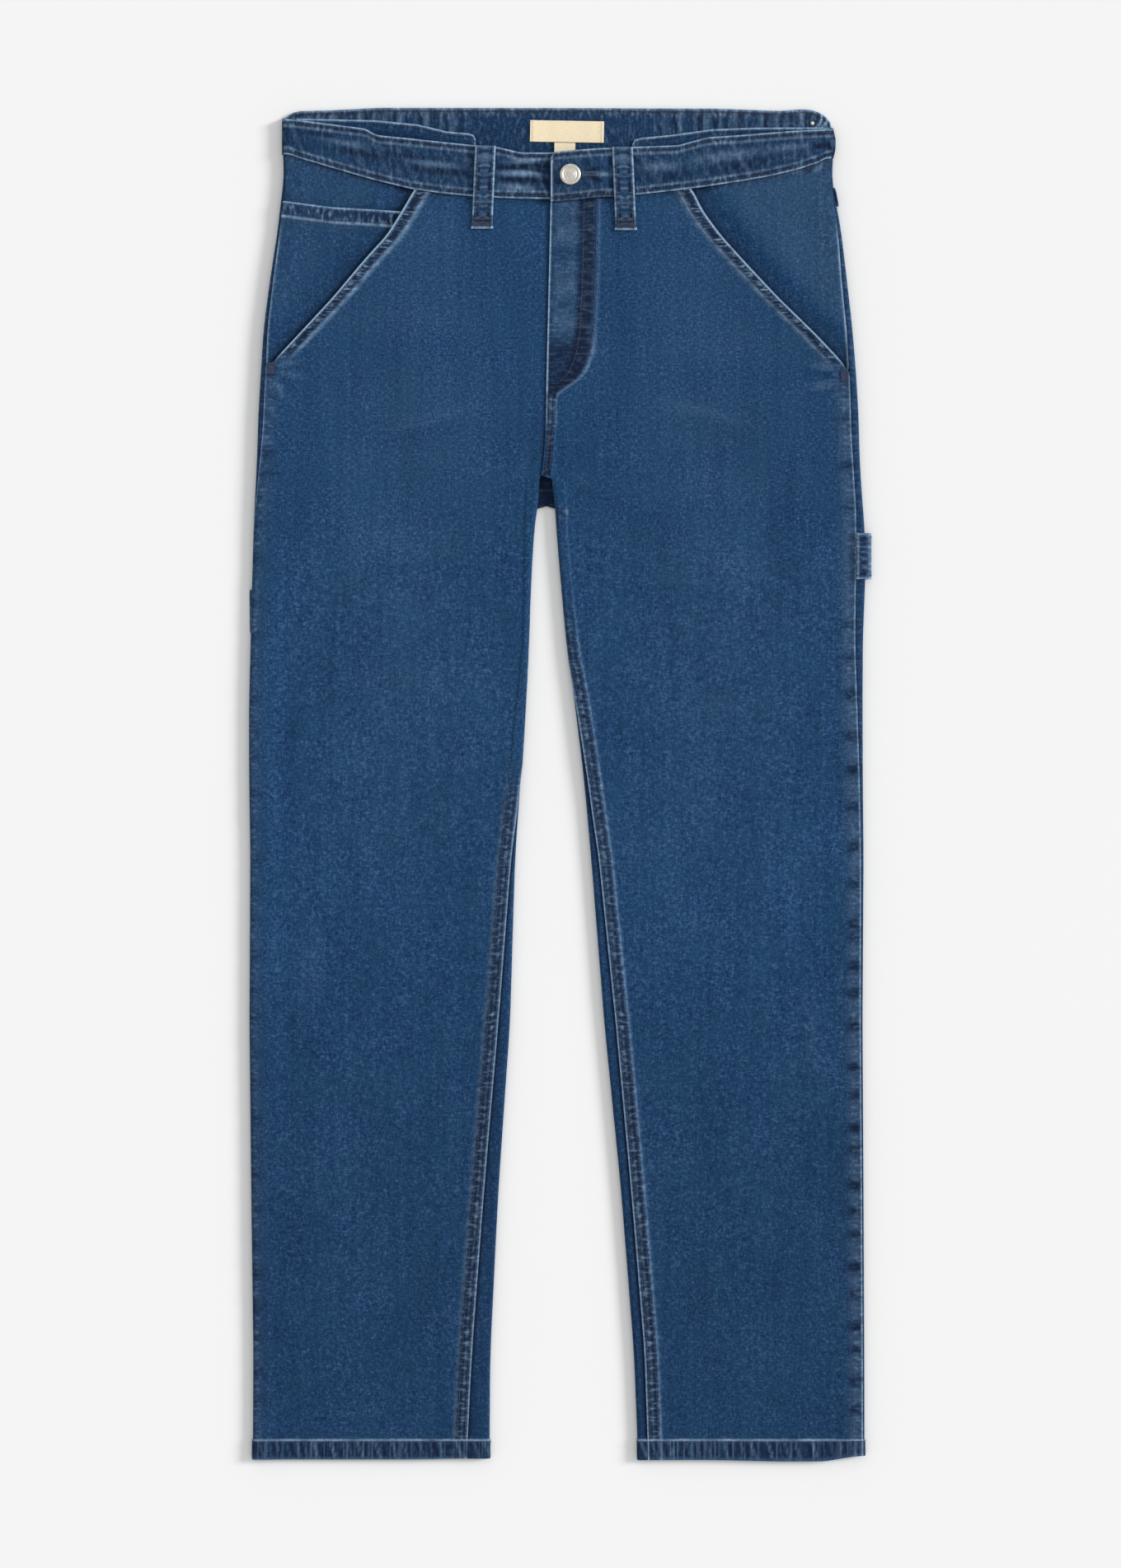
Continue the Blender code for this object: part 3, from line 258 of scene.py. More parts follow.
# Fine creases: at the waistband, the button, the pocket corners, the fly, the crotch and the legs
CREASES = [
    Fold(-31.0, 508.6, 2.0, 30.0, 1.3, -1.0),
    Fold(-30.0, 513.4, 3.0, 22.0, 1.7, 0.5),
    Fold(-33.0, 503.2, 0.0, 28.0, 2.2, 0.75),
    Fold(-30.0, 497.6, -4.0, 30.0, 1.3, -0.95),
    Fold(-36.0, 491.6, -5.0, 22.0, 2.2, 0.5),
    Fold(-18.0, 505.0, -8.0, 12.0, 1.5, -0.5),
    Fold(27.0, 505.6, 13.0, 11.0, 1.3, -0.8),
    Fold(27.0, 498.8, -15.0, 11.0, 1.3, -0.8),
    Fold(36.0, 502.2, 0.0, 9.0, 1.5, 0.5),
    Fold(-14.0, 481.0, 0.0, 10.0, 3.0, -0.7),
    Fold(82.0, 509.0, 4.0, 24.0, 3.4, 0.3),
    Fold(92.0, 501.0, 5.0, 30.0, 3.2, -0.18),
    Fold(136.0, 518.0, 7.0, 44.0, 3.8, 0.25),
    Fold(152.0, 510.0, 9.0, 42.0, 3.4, -0.15),
    Fold(186.0, 524.0, 8.0, 30.0, 3.0, 0.2),
    Fold(215.0, 525.6, 0.0, 12.0, 1.8, -0.5),
    Fold(-100.0, 505.0, -7.0, 40.0, 2.4, -0.3),
    Fold(-104.0, 511.0, -7.0, 38.0, 2.6, 0.3),
    Fold(-128.0, 518.0, -9.0, 40.0, 2.2, -0.25),
    Fold(-166.0, 520.0, -13.0, 42.0, 2.4, -0.28),
    Fold(-180.0, 529.0, -13.0, 38.0, 2.6, 0.3),
    Fold(-196.0, 535.0, -12.0, 30.0, 2.2, -0.25),
    Fold(-226.0, 347.0, 4.0, 16.0, 2.2, 0.6),
    Fold(-222.0, 342.5, -4.0, 15.0, 1.9, -0.5),
    Fold(-222.0, 338.0, -12.0, 17.0, 2.2, 0.45),
    Fold(-226.0, 330.0, -52.0, 14.0, 2.0, -0.7),
    Fold(-231.0, 325.0, -64.0, 14.0, 2.6, 0.4),
    Fold(218.0, 344.0, -8.0, 20.0, 2.6, 0.6),
    Fold(214.0, 337.0, -4.0, 22.0, 2.6, -0.5),
    Fold(216.0, 329.0, 8.0, 20.0, 3.2, 0.45),
    Fold(228.0, 326.0, 34.0, 12.0, 2.2, -0.6),
    Fold(33.0, 362.0, 2.0, 9.0, 1.8, -0.4),
    Fold(30.0, 357.0, 4.0, 9.0, 1.8, 0.3),
    Fold(-24.0, 268.0, 58.0, 20.0, 2.6, -0.5),
    Fold(-34.0, 258.0, 40.0, 26.0, 3.0, 0.35),
    Fold(4.0, 262.0, -56.0, 20.0, 2.6, -0.5),
    Fold(14.0, 252.0, -38.0, 28.0, 3.0, 0.4),
    Fold(22.0, 240.0, -26.0, 34.0, 3.4, -0.35),
    Fold(-44.0, 240.0, 28.0, 34.0, 3.4, -0.35),
    Fold(-112.0, 300.0, 14.0, 60.0, 5.0, 0.3),
    Fold(-120.0, 286.0, 12.0, 60.0, 5.0, -0.3),
    Fold(118.0, 306.0, -12.0, 60.0, 5.0, 0.3),
    Fold(126.0, 290.0, -14.0, 60.0, 5.0, -0.3),
    Fold(-168.0, 168.0, 30.0, 46.0, 5.0, -0.35),
    Fold(176.0, 150.0, -34.0, 50.0, 5.0, -0.35),
    Fold(-90.0, 20.0, 66.0, 60.0, 6.0, -0.3),
    Fold(96.0, -30.0, -70.0, 60.0, 6.0, -0.3),
    Fold(-205.0, -150.0, 80.0, 70.0, 7.0, 0.25),
    Fold(208.0, -210.0, -82.0, 76.0, 7.0, 0.25),
    Fold(-110.0, -400.0, 84.0, 80.0, 7.0, -0.35),
    Fold(118.0, -430.0, -86.0, 80.0, 7.0, -0.35),
    Fold(-196.0, -498.0, 12.0, 44.0, 5.0, -0.3),
    Fold(168.0, -506.0, -10.0, 46.0, 5.0, -0.3),
]

# Puckers just inside the outseams, from the waist to the hem: Y and depth
Pucker = namedtuple("Pucker", "y depth")
OUTSEAM_PUCKERS = {
    LEFT: [
        Pucker(300.0, 0.3), Pucker(262.0, 0.5), Pucker(228.0, 0.4), Pucker(132.0, 0.5), Pucker(104.0, 0.4),
        Pucker(74.0, 0.7), Pucker(40.0, 0.7), Pucker(12.0, 0.8), Pucker(-19.0, 0.6), Pucker(-52.0, 0.7),
        Pucker(-82.0, 0.5), Pucker(-115.0, 0.7), Pucker(-126.0, 0.5), Pucker(-150.0, 0.7), Pucker(-172.0, 0.6),
        Pucker(-199.0, 0.7), Pucker(-233.0, 0.7), Pucker(-256.0, 0.5), Pucker(-283.0, 0.7), Pucker(-301.0, 0.5),
        Pucker(-330.0, 0.7), Pucker(-352.0, 0.6), Pucker(-371.0, 0.5), Pucker(-398.0, 0.7), Pucker(-420.0, 0.5),
        Pucker(-447.0, 0.7), Pucker(-466.0, 0.5), Pucker(-492.0, 0.6), Pucker(-515.0, 0.5),
    ],
    RIGHT: [
        Pucker(318.0, 0.4), Pucker(296.0, 0.4), Pucker(272.0, 0.8), Pucker(256.0, 0.6), Pucker(214.0, 0.4),
        Pucker(186.0, 0.5), Pucker(150.0, 0.4), Pucker(122.0, 0.6), Pucker(98.0, 0.5), Pucker(70.0, 0.6),
        Pucker(44.0, 0.6), Pucker(22.0, 0.5), Pucker(-8.0, 0.7), Pucker(-34.0, 0.5), Pucker(-62.0, 0.6),
        Pucker(-90.0, 0.6), Pucker(-112.0, 0.5), Pucker(-141.0, 0.7), Pucker(-170.0, 0.5), Pucker(-192.0, 0.6),
        Pucker(-222.0, 0.6), Pucker(-247.0, 0.5), Pucker(-276.0, 0.7), Pucker(-300.0, 0.5), Pucker(-322.0, 0.6),
        Pucker(-350.0, 0.6), Pucker(-379.0, 0.5), Pucker(-403.0, 0.6), Pucker(-432.0, 0.6), Pucker(-455.0, 0.5),
        Pucker(-484.0, 0.6), Pucker(-508.0, 0.5),
    ],
}

Underlay = namedtuple("Underlay", "side across_low across_high y_low y_high lift")
UNDERLAYS = [
    Underlay(RIGHT, 140.0, 270.0, -30.0, 160.6, 1.5),
    Underlay(LEFT, 196.0, 270.0, 168.6, 207.4, 2.1),
]
LIFT_RAMP = 10.0

BUTTON_X = 8.1
BUTTON_Y = 501.8
LAP_END = -8.0
LAP_UNDER = 28.0
LAP_RAMP = 42.0


def lookup(table, key, column, at):
    """Values of a column of a table at places between its rows, whichever way the rows run."""
    rows = sorted(table, key=lambda row: getattr(row, key))
    keys = [getattr(row, key) for row in rows]
    values = [getattr(row, column) for row in rows]
    return np.interp(at, keys, values)


def soft_lookup(table, key, column, at, reach):
    """The same, with the corners between the rows rounded over a reach."""
    parts = (-1.0, -0.5, 0.0, 0.5, 1.0)
    return sum(lookup(table, key, column, at + part * reach) for part in parts) / len(parts)


def side_name(side):
    return "right" if side == RIGHT else "left"


def smooth_step(value):
    value = np.clip(value, 0.0, 1.0)
    return value * value * (3.0 - 2.0 * value)


def line(at, centre, width):
    """Soft line across a strip: 1 at its centre."""
    return np.exp(-(((at - centre) / width) ** 2))


def band(at, low, high, ease=0.8):
    """Soft-edged band between two places."""
    return smooth_step((at - low) / ease + 0.5) * (1.0 - smooth_step((at - high) / ease + 0.5))


def ripple(at, wave, seed=0.0):
    """Uneven waves between about -1 and 1, of a mean wavelength."""
    turn = 2.0 * math.pi * np.asarray(at) / wave
    first = 0.5 * np.sin(turn + seed)
    second = 0.32 * np.sin(1.63 * turn + 2.1 * seed + 1.3)
    return first + second + 0.25 * np.sin(0.57 * turn + 3.7 * seed + 0.4)


def fill(stops, step):
    """Places from the first stop to the last, through every stop, at most a step apart."""
    places = [stops[0]]
    for low, high in zip(stops, stops[1:]):
        count = max(1, math.ceil(abs(high - low) / step - 1e-6))
        places += [low + (high - low) * (k + 1) / count for k in range(count)]
    return np.array(places)


def outer_edge(side, y):
    return soft_lookup(OUTER_EDGE, "y", side_name(side), y, 12.0)


def inner_edge(side, y):
    reach = 0.5 if y > 248.0 else min(20.0, 0.5 + (248.0 - y) / 3.0)
    return side * soft_lookup(INNER_EDGE, "y", side_name(side), y, reach)


def waist_seam(x):
    return soft_lookup(WAIST_FRONT, "x", "seam", x, 2.0)


def waist_top(x):
    return soft_lookup(WAIST_FRONT, "x", "top", x, 3.0)


def mouth(side, y):
    return soft_lookup(MOUTH, "y", side_name(side), y, 5.0)


def lift(side, across, y):
    """How far the back panel is lifted by what lies under it."""
    total = np.zeros(np.shape(across))
    for under in UNDERLAYS:
        if under.side != side:
            continue
        beyond = np.maximum(under.across_low - across, max(under.y_low - y, y - under.y_high, 0.0))
        total = np.maximum(total, under.lift * (1.0 - np.clip(beyond / LIFT_RAMP, 0.0, 1.0)))
    return total


def folds_at(folds, x, y):
    """Height of a table of folds at places on the top of the cloth."""
    total = np.zeros(np.broadcast(x, y).shape)
    for fold in folds:
        turn = math.radians(fold.angle)
        along = (x - fold.x) * math.cos(turn) + (y - fold.y) * math.sin(turn)
        across = (y - fold.y) * math.cos(turn) - (x - fold.x) * math.sin(turn)
        run = np.where(np.abs(along) < fold.length, np.cos(0.5 * math.pi * along / fold.length) ** 2, 0.0)
        total = total + fold.rise * run * np.exp(-((across / fold.width) ** 2))
    return total


class Section:
    """Cross-section of one leg at one Y, as a path of arc lengths round the flattened tube.

    Arc length 0 is the outermost point at the outer fold. It grows over the top of the leg to
    the inner edge, and falls below 0 round the underside.
    """

    def __init__(self, side, y):
        name = side_name(side)
        self.side = side
        self.y = y
        self.edge = outer_edge(side, y)
        self.middle = lookup(HEIGHTS, "y", "middle", y)
        self.outer_height = lookup(HEIGHTS, "y", "outer", y)
        self.roll = smooth_step((CROTCH_OPEN - y) / (CROTCH_OPEN - CROTCH))
        inner_height = lookup(HEIGHTS, "y", "inner", y)
        self.inner_shown = float(soft_lookup(SEAMS, "y", name + "_inner", y, 8.0 if y < 200.0 else 0.0))
        self.inner_height = self.middle + (inner_height - self.middle) * self.roll
        self.edge_lift = float(lift(side, self.edge, y))
        self.outer_radius = (self.outer_height - self.edge_lift) / 2.0
        self.inner_radius = self.inner_height / 2.0
        self.quarter = 0.5 * math.pi * self.outer_radius
        seam = soft_lookup(SEAMS, "y", name + "_outer", y, 8.0)
        self.outseam = self.seam_arc(seam, self.outer_radius)
        inseam = self.seam_arc(self.inner_shown, self.inner_radius)
        full_wrap = 0.5 * math.pi * self.inner_radius - inseam
        self.wrap = full_wrap * (1.0 if y < CROTCH else self.roll)
        reach = 1.0
        if y >= CROTCH:
            reach = math.sin(min(self.wrap / self.inner_radius, 0.5 * math.pi))
        self.flat_end = inner_edge(side, y) + self.inner_radius * reach
        self.over_flat_end = self.quarter + self.edge - self.outer_radius - self.flat_end
        self.over_end = self.over_flat_end + self.wrap
        self.under_flat_end = self.over_flat_end
        self.under_end = self.under_flat_end + math.pi * self.inner_radius - self.wrap

    @staticmethod
    def seam_arc(shown, radius):
        """Arc length from a fold's outermost point to a seam that shows that far in from it."""
        if shown >= radius:
            return 0.5 * math.pi * radius + shown - radius
        if shown > 0.0:
            return radius * math.acos(1.0 - shown / radius)
        return shown

    def top(self, across):
        """Height of the top surface."""
        outward = smooth_step(1.0 - (self.edge - self.outer_radius - across) / EDGE_EASE)
        inward = smooth_step(1.0 - (across - self.flat_end) / EDGE_EASE)
        height = self.middle + (self.outer_height - self.middle) * outward
        return height + (self.inner_height - self.middle) * inward * self.roll

    def over(self, arc):
        """Across distance, height and outward direction at arc lengths over the top."""
        angle = np.minimum(arc, self.quarter) / self.outer_radius
        corner = self.edge - self.outer_radius
        across = corner + self.outer_radius * np.cos(angle)
        height = self.edge_lift + self.outer_radius * (1.0 + np.sin(angle))
        out_x, out_z = np.cos(angle), np.sin(angle)
        flat = arc > self.quarter
        flat_across = corner - (arc - self.quarter)
        across = np.where(flat, flat_across, across)
        height = np.where(flat, self.top(flat_across), height)
        out_x = np.where(flat, 0.0, out_x)
        out_z = np.where(flat, 1.0, out_z)
        inside = arc > self.over_flat_end
        angle = np.clip((arc - self.over_flat_end) / self.inner_radius, 0.0, math.pi)
        across = np.where(inside, self.flat_end - self.inner_radius * np.sin(angle), across)
        height = np.where(inside, self.inner_radius * (1.0 + np.cos(angle)), height)
        out_x = np.where(inside, -np.sin(angle), out_x)
        out_z = np.where(inside, np.cos(angle), out_z)
        return across, height, out_x, out_z

    def under(self, arc):
        """The same, round the underside: arc length grows under the leg to the inner edge."""
        over_across, over_height, over_x, over_z = self.over(-np.minimum(arc, 0.0))
        angle = np.clip(arc, 0.0, self.quarter) / self.outer_radius
        corner = self.edge - self.outer_radius
        across = np.where(arc < 0.0, over_across, corner + self.outer_radius * np.cos(angle))
        height = self.edge_lift + self.outer_radius * (1.0 - np.sin(angle))
        height = np.where(arc < 0.0, over_height, height)
        out_x = np.where(arc < 0.0, over_x, np.cos(angle))
        out_z = np.where(arc < 0.0, over_z, -np.sin(angle))
        flat = arc > self.quarter
        flat_across = corner - (arc - self.quarter)
        across = np.where(flat, flat_across, across)
        height = np.where(flat, lift(self.side, flat_across, self.y), height)
        out_x = np.where(flat, 0.0, out_x)
        out_z = np.where(flat, -1.0, out_z)
        inside = arc > self.under_flat_end
        turn = (arc - self.under_flat_end) / self.inner_radius
        angle = np.clip(turn, 0.0, math.pi)
        back = self.flat_end + (turn - math.pi) * self.inner_radius
        round_end = turn > math.pi
        across = np.where(inside, self.flat_end - self.inner_radius * np.sin(angle), across)
        height = np.where(inside, self.inner_radius * (1.0 - np.cos(angle)), height)
        out_x = np.where(inside, -np.sin(angle), out_x)
        out_z = np.where(inside, -np.cos(angle), out_z)
        across = np.where(round_end, back, across)
        height = np.where(round_end, self.top(back), height)
        out_x = np.where(round_end, 0.0, out_x)
        out_z = np.where(round_end, 1.0, out_z)
        return across, height, out_x, out_z


def front_y(side, level, x):
    """Y of a front row at X: rows are straight on the legs and bend to the waist seam above."""
    start = WAIST_LEVEL[side]
    bend = max(0.0, (level - BEND_FROM) / (start - BEND_FROM))
    return level + bend * (waist_seam(x) - start)


def back_y(side, level, across):
    """Y of a back row, which runs straight from the side fold to the centre back."""
    start = WAIST_LEVEL[side]
    bend = max(0.0, (level - BEND_FROM) / (start - BEND_FROM))
    edge = outer_edge(side, level)
    part = (edge - across) / (edge - side * CENTRE_BACK)
    return level + bend * (BACK_WAIST - start) * part


def solve_across(side, line_at, row_y, start=180.0):
    """Across distance where a row crosses a line given by Y."""
    across = start
    for _ in range(14):
        across = line_at(row_y(side * across))
    return float(across)


def hem_drop(side, across, level):
    """The hems' lower edges are not quite straight."""
    share = max(0.0, (HEM_TOP - level) / HEM_HEIGHT)
    if side == LEFT:
        rise = 4.6 * smooth_step((across - 212.0) / 38.0) - 1.2 * smooth_step((across - 110.0) / 80.0)
        return rise * share
    return 0.8 * smooth_step((130.0 - across) / 60.0) * share


# Materials

def node(tree, kind, inputs=None, **settings):
    """Adds a node, sets it and joins its inputs; returns its first output."""
    made = tree.nodes.new(kind)
    for key, value in settings.items():
        setattr(made, key, value)
    for key, value in (inputs or {}).items():
        if isinstance(value, bpy.types.NodeSocket):
            tree.links.new(value, made.inputs[key])
        else:
            made.inputs[key].default_value = value
    return made.outputs[0]


def calc(tree, operation, first, second=0.0, third=0.0, clamp=False):
    return node(tree, "ShaderNodeMath", {0: first, 1: second, 2: third}, operation=operation, use_clamp=clamp)


def stretched_noise(tree, coordinates, scale, detail=2.0, roughness=0.5):
    """Noise with its own scale along each axis, in waves a metre."""
    moved = node(tree, "ShaderNodeMapping", {"Vector": coordinates, "Scale": scale})
    return node(tree, "ShaderNodeTexNoise", {"Vector": moved, "Scale": 1.0, "Detail": detail,
                                             "Roughness": roughness})


def ramp(tree, factor, stops):
    made = tree.nodes.new("ShaderNodeValToRGB")
    tree.links.new(factor, made.inputs[0])
    elements = made.color_ramp.elements
    while len(elements) < len(stops):
        elements.new(0.5)
    for element, (place, colour) in zip(elements, stops):
        element.position = place
        element.color = (*colour, 1.0)
    return made.outputs[0]


def mix_colour(tree, factor, first, second):
    made = tree.nodes.new("ShaderNodeMix")
    made.data_type = "RGBA"
    for socket, value in ((made.inputs[0], factor), (made.inputs[6], first), (made.inputs[7], second)):
        if isinstance(value, bpy.types.NodeSocket):
            tree.links.new(value, socket)
        else:
            socket.default_value = value if isinstance(value, float) else (*value, 1.0)
    return made.outputs[2]


def new_material(name, roughness, metallic=0.0):
    made = bpy.data.materials.new(name)
    made.use_nodes = True
    shader = made.node_tree.nodes["Principled BSDF"]
    shader.inputs["Roughness"].default_value = roughness
    shader.inputs["Metallic"].default_value = metallic
    return made, made.node_tree, shader


DENIM_TONES = [
    (0.15, (0.0020, 0.0160, 0.0520)),
    (0.42, (0.0085, 0.0400, 0.1120)),
    (0.58, (0.0150, 0.0580, 0.1500)),
    (0.85, (0.0520, 0.1250, 0.2500)),
]
ABRADED_AND_LIT = (0.260, 0.400, 0.560)
TEAL = (0.0110, 0.0600, 0.1250)
NAVY = (0.0040, 0.0118, 0.0370)


def denim_material():
    """Washed denim: heathered twill, slubs, ridges abraded and painted lighter, dark stitched zones and painted shade.
    """
    made, tree, shader = new_material("denim_washed", 0.86)
    place = tree.nodes.new("ShaderNodeTexCoord").outputs["Object"]
    warp = stretched_noise(tree, place, (760.0, 330.0, 500.0), 2.0, 0.55)
    weft = stretched_noise(tree, place, (330.0, 700.0, 500.0), 2.0, 0.55)
    slub = stretched_noise(tree, place, (210.0, 10.0, 120.0), 2.0)
    cloud = stretched_noise(tree, place, (15.0, 8.0, 12.0), 2.0)
    hue = stretched_noise(tree, place, (34.0, 26.0, 20.0), 2.0)
    grain = calc(tree, "MULTIPLY_ADD", warp, 0.95, calc(tree, "MULTIPLY", weft, 0.95))
    tone = calc(tree, "MULTIPLY_ADD", slub, 0.24, grain)
    tone = calc(tree, "MULTIPLY_ADD", cloud, 0.26, tone)
    tone = calc(tree, "ADD", tone, -0.70)
    base = ramp(tree, tone, DENIM_TONES)
    base = mix_colour(tree, calc(tree, "MULTIPLY_ADD", hue, 0.85, -0.26, clamp=True), base, TEAL)

    def value_of(name):
        made_node = tree.nodes.new("ShaderNodeAttribute")
        made_node.attribute_name = name
        return made_node.outputs["Fac"]

    wear_and_highlight = value_of("wear_and_highlight")
    shade = value_of("shade")
    mottle = value_of("mottle")
    across = calc(tree, "MULTIPLY", value_of("across"), 0.13)
    along = calc(tree, "MULTIPLY", value_of("along"), 0.34)
    strip = node(tree, "ShaderNodeCombineXYZ", {0: across, 1: along, 2: 0.0})
    dots = node(tree, "ShaderNodeTexNoise", {"Vector": strip, "Scale": 1.0, "Detail": 1.5, "Roughness": 0.5})
    signal = calc(tree, "MULTIPLY", calc(tree, "ADD", dots, -0.52), mottle)
    light = calc(tree, "MAXIMUM", signal, 0.0)
    dark = calc(tree, "MAXIMUM", calc(tree, "MULTIPLY", signal, -1.0), 0.0)
    broken = calc(tree, "MULTIPLY_ADD", dots, 1.3, 0.30)
    # The pale mix carries abrasion and painted highlights; the navy mix carries less-abraded dye and painted shade.
    rough_wear_and_highlight = calc(tree, "MULTIPLY", wear_and_highlight, calc(tree, "MULTIPLY", grain, broken))
    worn_and_lit = calc(tree, "MULTIPLY_ADD", light, 1.6, rough_wear_and_highlight, clamp=True)
    shaded = calc(tree, "MULTIPLY_ADD", dark, 1.8, shade, clamp=True)
    shaded = calc(tree, "MULTIPLY", shaded, calc(tree, "MULTIPLY_ADD", grain, -0.4, 1.40), clamp=True)
    colour = mix_colour(tree, shaded, base, NAVY)
    colour = mix_colour(tree, worn_and_lit, colour, ABRADED_AND_LIT)
    tree.links.new(colour, shader.inputs["Base Color"])
    height = calc(tree, "MULTIPLY_ADD", dots, calc(tree, "MULTIPLY", mottle, 2.2), grain)
    bump = node(tree, "ShaderNodeBump", {"Height": height, "Strength": 0.6, "Distance": 0.0003})
    tree.links.new(bump, shader.inputs["Normal"])
    shader.inputs["Sheen Weight"].default_value = 0.05
    shader.inputs["Sheen Roughness"].default_value = 0.5
    shader.inputs["Sheen Tint"].default_value = (0.6, 0.75, 1.0, 1.0)
    shader.inputs["Specular IOR Level"].default_value = 0.12
    return made


def thread_material(name, dark, pale):
    """Sewing thread with a little variation along its length."""
    made, tree, shader = new_material(name, 0.6)
    place = tree.nodes.new("ShaderNodeTexCoord").outputs["Object"]
    tone = stretched_noise(tree, place, (260.0, 260.0, 260.0), 2.0)
    tree.links.new(ramp(tree, tone, [(0.35, dark), (0.68, pale)]), shader.inputs["Base Color"])
    shader.inputs["Sheen Weight"].default_value = 0.1
    return made


def woven_material():
    """Cream woven tape with fine ribs."""
    made, tree, shader = new_material("woven_cream", 0.8)
    place = tree.nodes.new("ShaderNodeTexCoord").outputs["Object"]
    ribs = stretched_noise(tree, place, (300.0, 1500.0, 300.0), 1.0)
    specks = stretched_noise(tree, place, (900.0, 900.0, 900.0), 2.0)
    tone = calc(tree, "MULTIPLY_ADD", ribs, 0.6, calc(tree, "MULTIPLY", specks, 0.4))
    colour = ramp(tree, tone, [(0.3, (0.84, 0.70, 0.46)), (0.7, (0.96, 0.83, 0.60))])
    tree.links.new(colour, shader.inputs["Base Color"])
    bump = node(tree, "ShaderNodeBump", {"Height": tone, "Strength": 0.4, "Distance": 0.0002})
    tree.links.new(bump, shader.inputs["Normal"])
    return made


def metal_material():
    """Dull silver with fine scratches."""
    made, tree, shader = new_material("button_silver", 0.45, 1.0)
    place = tree.nodes.new("ShaderNodeTexCoord").outputs["Object"]
    scratches = stretched_noise(tree, place, (900.0, 300.0, 600.0), 3.0)
    colour = ramp(tree, scratches, [(0.3, (0.60, 0.56, 0.50)), (0.7, (0.86, 0.82, 0.75))])
    tree.links.new(colour, shader.inputs["Base Color"])
    rough = node(tree, "ShaderNodeMapRange", {"Value": scratches, "To Min": 0.34, "To Max": 0.55})
    tree.links.new(rough, shader.inputs["Roughness"])
    return made


DENIM = denim_material()
NAVY_THREAD = thread_material("thread_navy", (0.008, 0.017, 0.052), (0.028, 0.052, 0.125))
SOFT_THREAD = thread_material("thread_soft", (0.030, 0.060, 0.130), (0.090, 0.150, 0.250))
CREAM_THREAD = thread_material("thread_cream", (0.52, 0.43, 0.30), (0.82, 0.72, 0.56))
WOVEN = woven_material()
METAL = metal_material()


# Meshes

def add_mesh(name, points, faces, material, marks=None):
    """Object from points in millimetres and faces, riding on the garment's one body."""
    mesh = bpy.data.meshes.new(name)
    mesh.from_pydata((np.asarray(points) * MM).tolist(), [], [tuple(face) for face in faces])
    mesh.materials.append(material)
    for mark_name, values in (marks or {}).items():
        attribute = mesh.attributes.new(mark_name, "FLOAT", "POINT")
        attribute.data.foreach_set("value", np.asarray(values, dtype=np.float32).ravel())
    mesh.shade_smooth()
    mesh.set_sharp_from_angle(angle=math.radians(55.0))
    piece = bpy.data.objects.new(name, mesh)
    bpy.context.scene.collection.objects.link(piece)
    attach(piece, "root")
    return piece


# Marks on every point: a lightening (abrasion, and painted highlight on crease ridges), a darkening towards navy
# (less-abraded dye in stitched zones, and painted shade), the strength of the seam mottling, and its places along and
# across.
MARKS = ("wear_and_highlight", "shade", "mottle", "along", "across")


def shell(name, outer, inner, marks, material):
    """Closed thin shell between an outer and an inner grid of points, with its rims."""
    rows, columns, _ = outer.shape
    count = rows * columns
    index = np.arange(count).reshape(rows, columns)
    quads = np.stack([index[:-1, :-1], index[:-1, 1:], index[1:, 1:], index[1:, :-1]], axis=-1).reshape(-1, 4)
    ring = np.concatenate([index[0, :-1], index[:-1, -1], index[-1, :0:-1], index[:0:-1, 0]])
    after = np.roll(ring, -1)
    rim = np.stack([after, ring, ring + count, after + count], axis=-1)
    centre = (rows // 2, columns // 2)
    run = outer[centre[0], centre[1] + 1] - outer[centre]
    rise = outer[centre[0] + 1, centre[1]] - outer[centre]
    faces = np.concatenate([quads, quads[:, ::-1] + count, rim])
    if np.dot(np.cross(run, rise), outer[centre] - inner[centre]) < 0.0:
        faces = faces[:, ::-1]
    points = np.concatenate([outer.reshape(-1, 3), inner.reshape(-1, 3)])
    doubled = {key: np.tile(np.broadcast_to(marks.get(key, 0.0), (rows, columns)).ravel(), 2) for key in MARKS}
    return add_mesh(name, points, faces.tolist(), material, doubled)


# Record for a cloth piece's cut size in metres: width, length, area where it isn't a rectangle, and what it
# lies on. No piece is given one here.
Cut = namedtuple("Cut", "width length area rests_on")


def cloth(name, outer, inner, marks, material=None):
    """Cloth piece that stands for the solid of its name."""
    piece = shell("cloth_" + name, outer, inner, marks, material or DENIM)
    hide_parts(name)
    return piece


def normals_of(outer, inner):
    """Outward unit normals of a grid."""
    across = np.gradient(outer, axis=1)
    down = np.gradient(outer, axis=0)
    normal = np.cross(across, down)
    normal /= np.maximum(np.linalg.norm(normal, axis=-1, keepdims=True), 1e-9)
    flip = np.sign(np.sum(normal * (outer - inner), axis=-1, keepdims=True))
    return normal * np.where(flip == 0.0, 1.0, flip)


def line_over_rows(outer, normals, distance, value, keep=None):
    """Line through the rows of a grid where a distance reaches a value: points and normals."""
    places = []
    ups = []
    values = np.broadcast_to(value, (len(outer),))
    for r, (row, up, at) in enumerate(zip(outer, normals, distance)):
        if keep is not None and not keep[r]:
            continue
        order = np.argsort(at)
        if not at[order[0]] <= values[r] <= at[order[-1]]:
            continue
        places.append([np.interp(values[r], at[order], row[order, k]) for k in range(3)])
        ups.append([np.interp(values[r], at[order], up[order, k]) for k in range(3)])
    return np.array(places), np.array(ups)


def line_over_columns(outer, normals, distance, value, keep=None):
    return line_over_rows(outer.transpose(1, 0, 2), normals.transpose(1, 0, 2), distance.T, value, keep)


STITCH_PITCH = 3.1
STITCH_LENGTH = 2.5
THREAD_WIDTH = 0.75
THREAD_RISE = 0.32
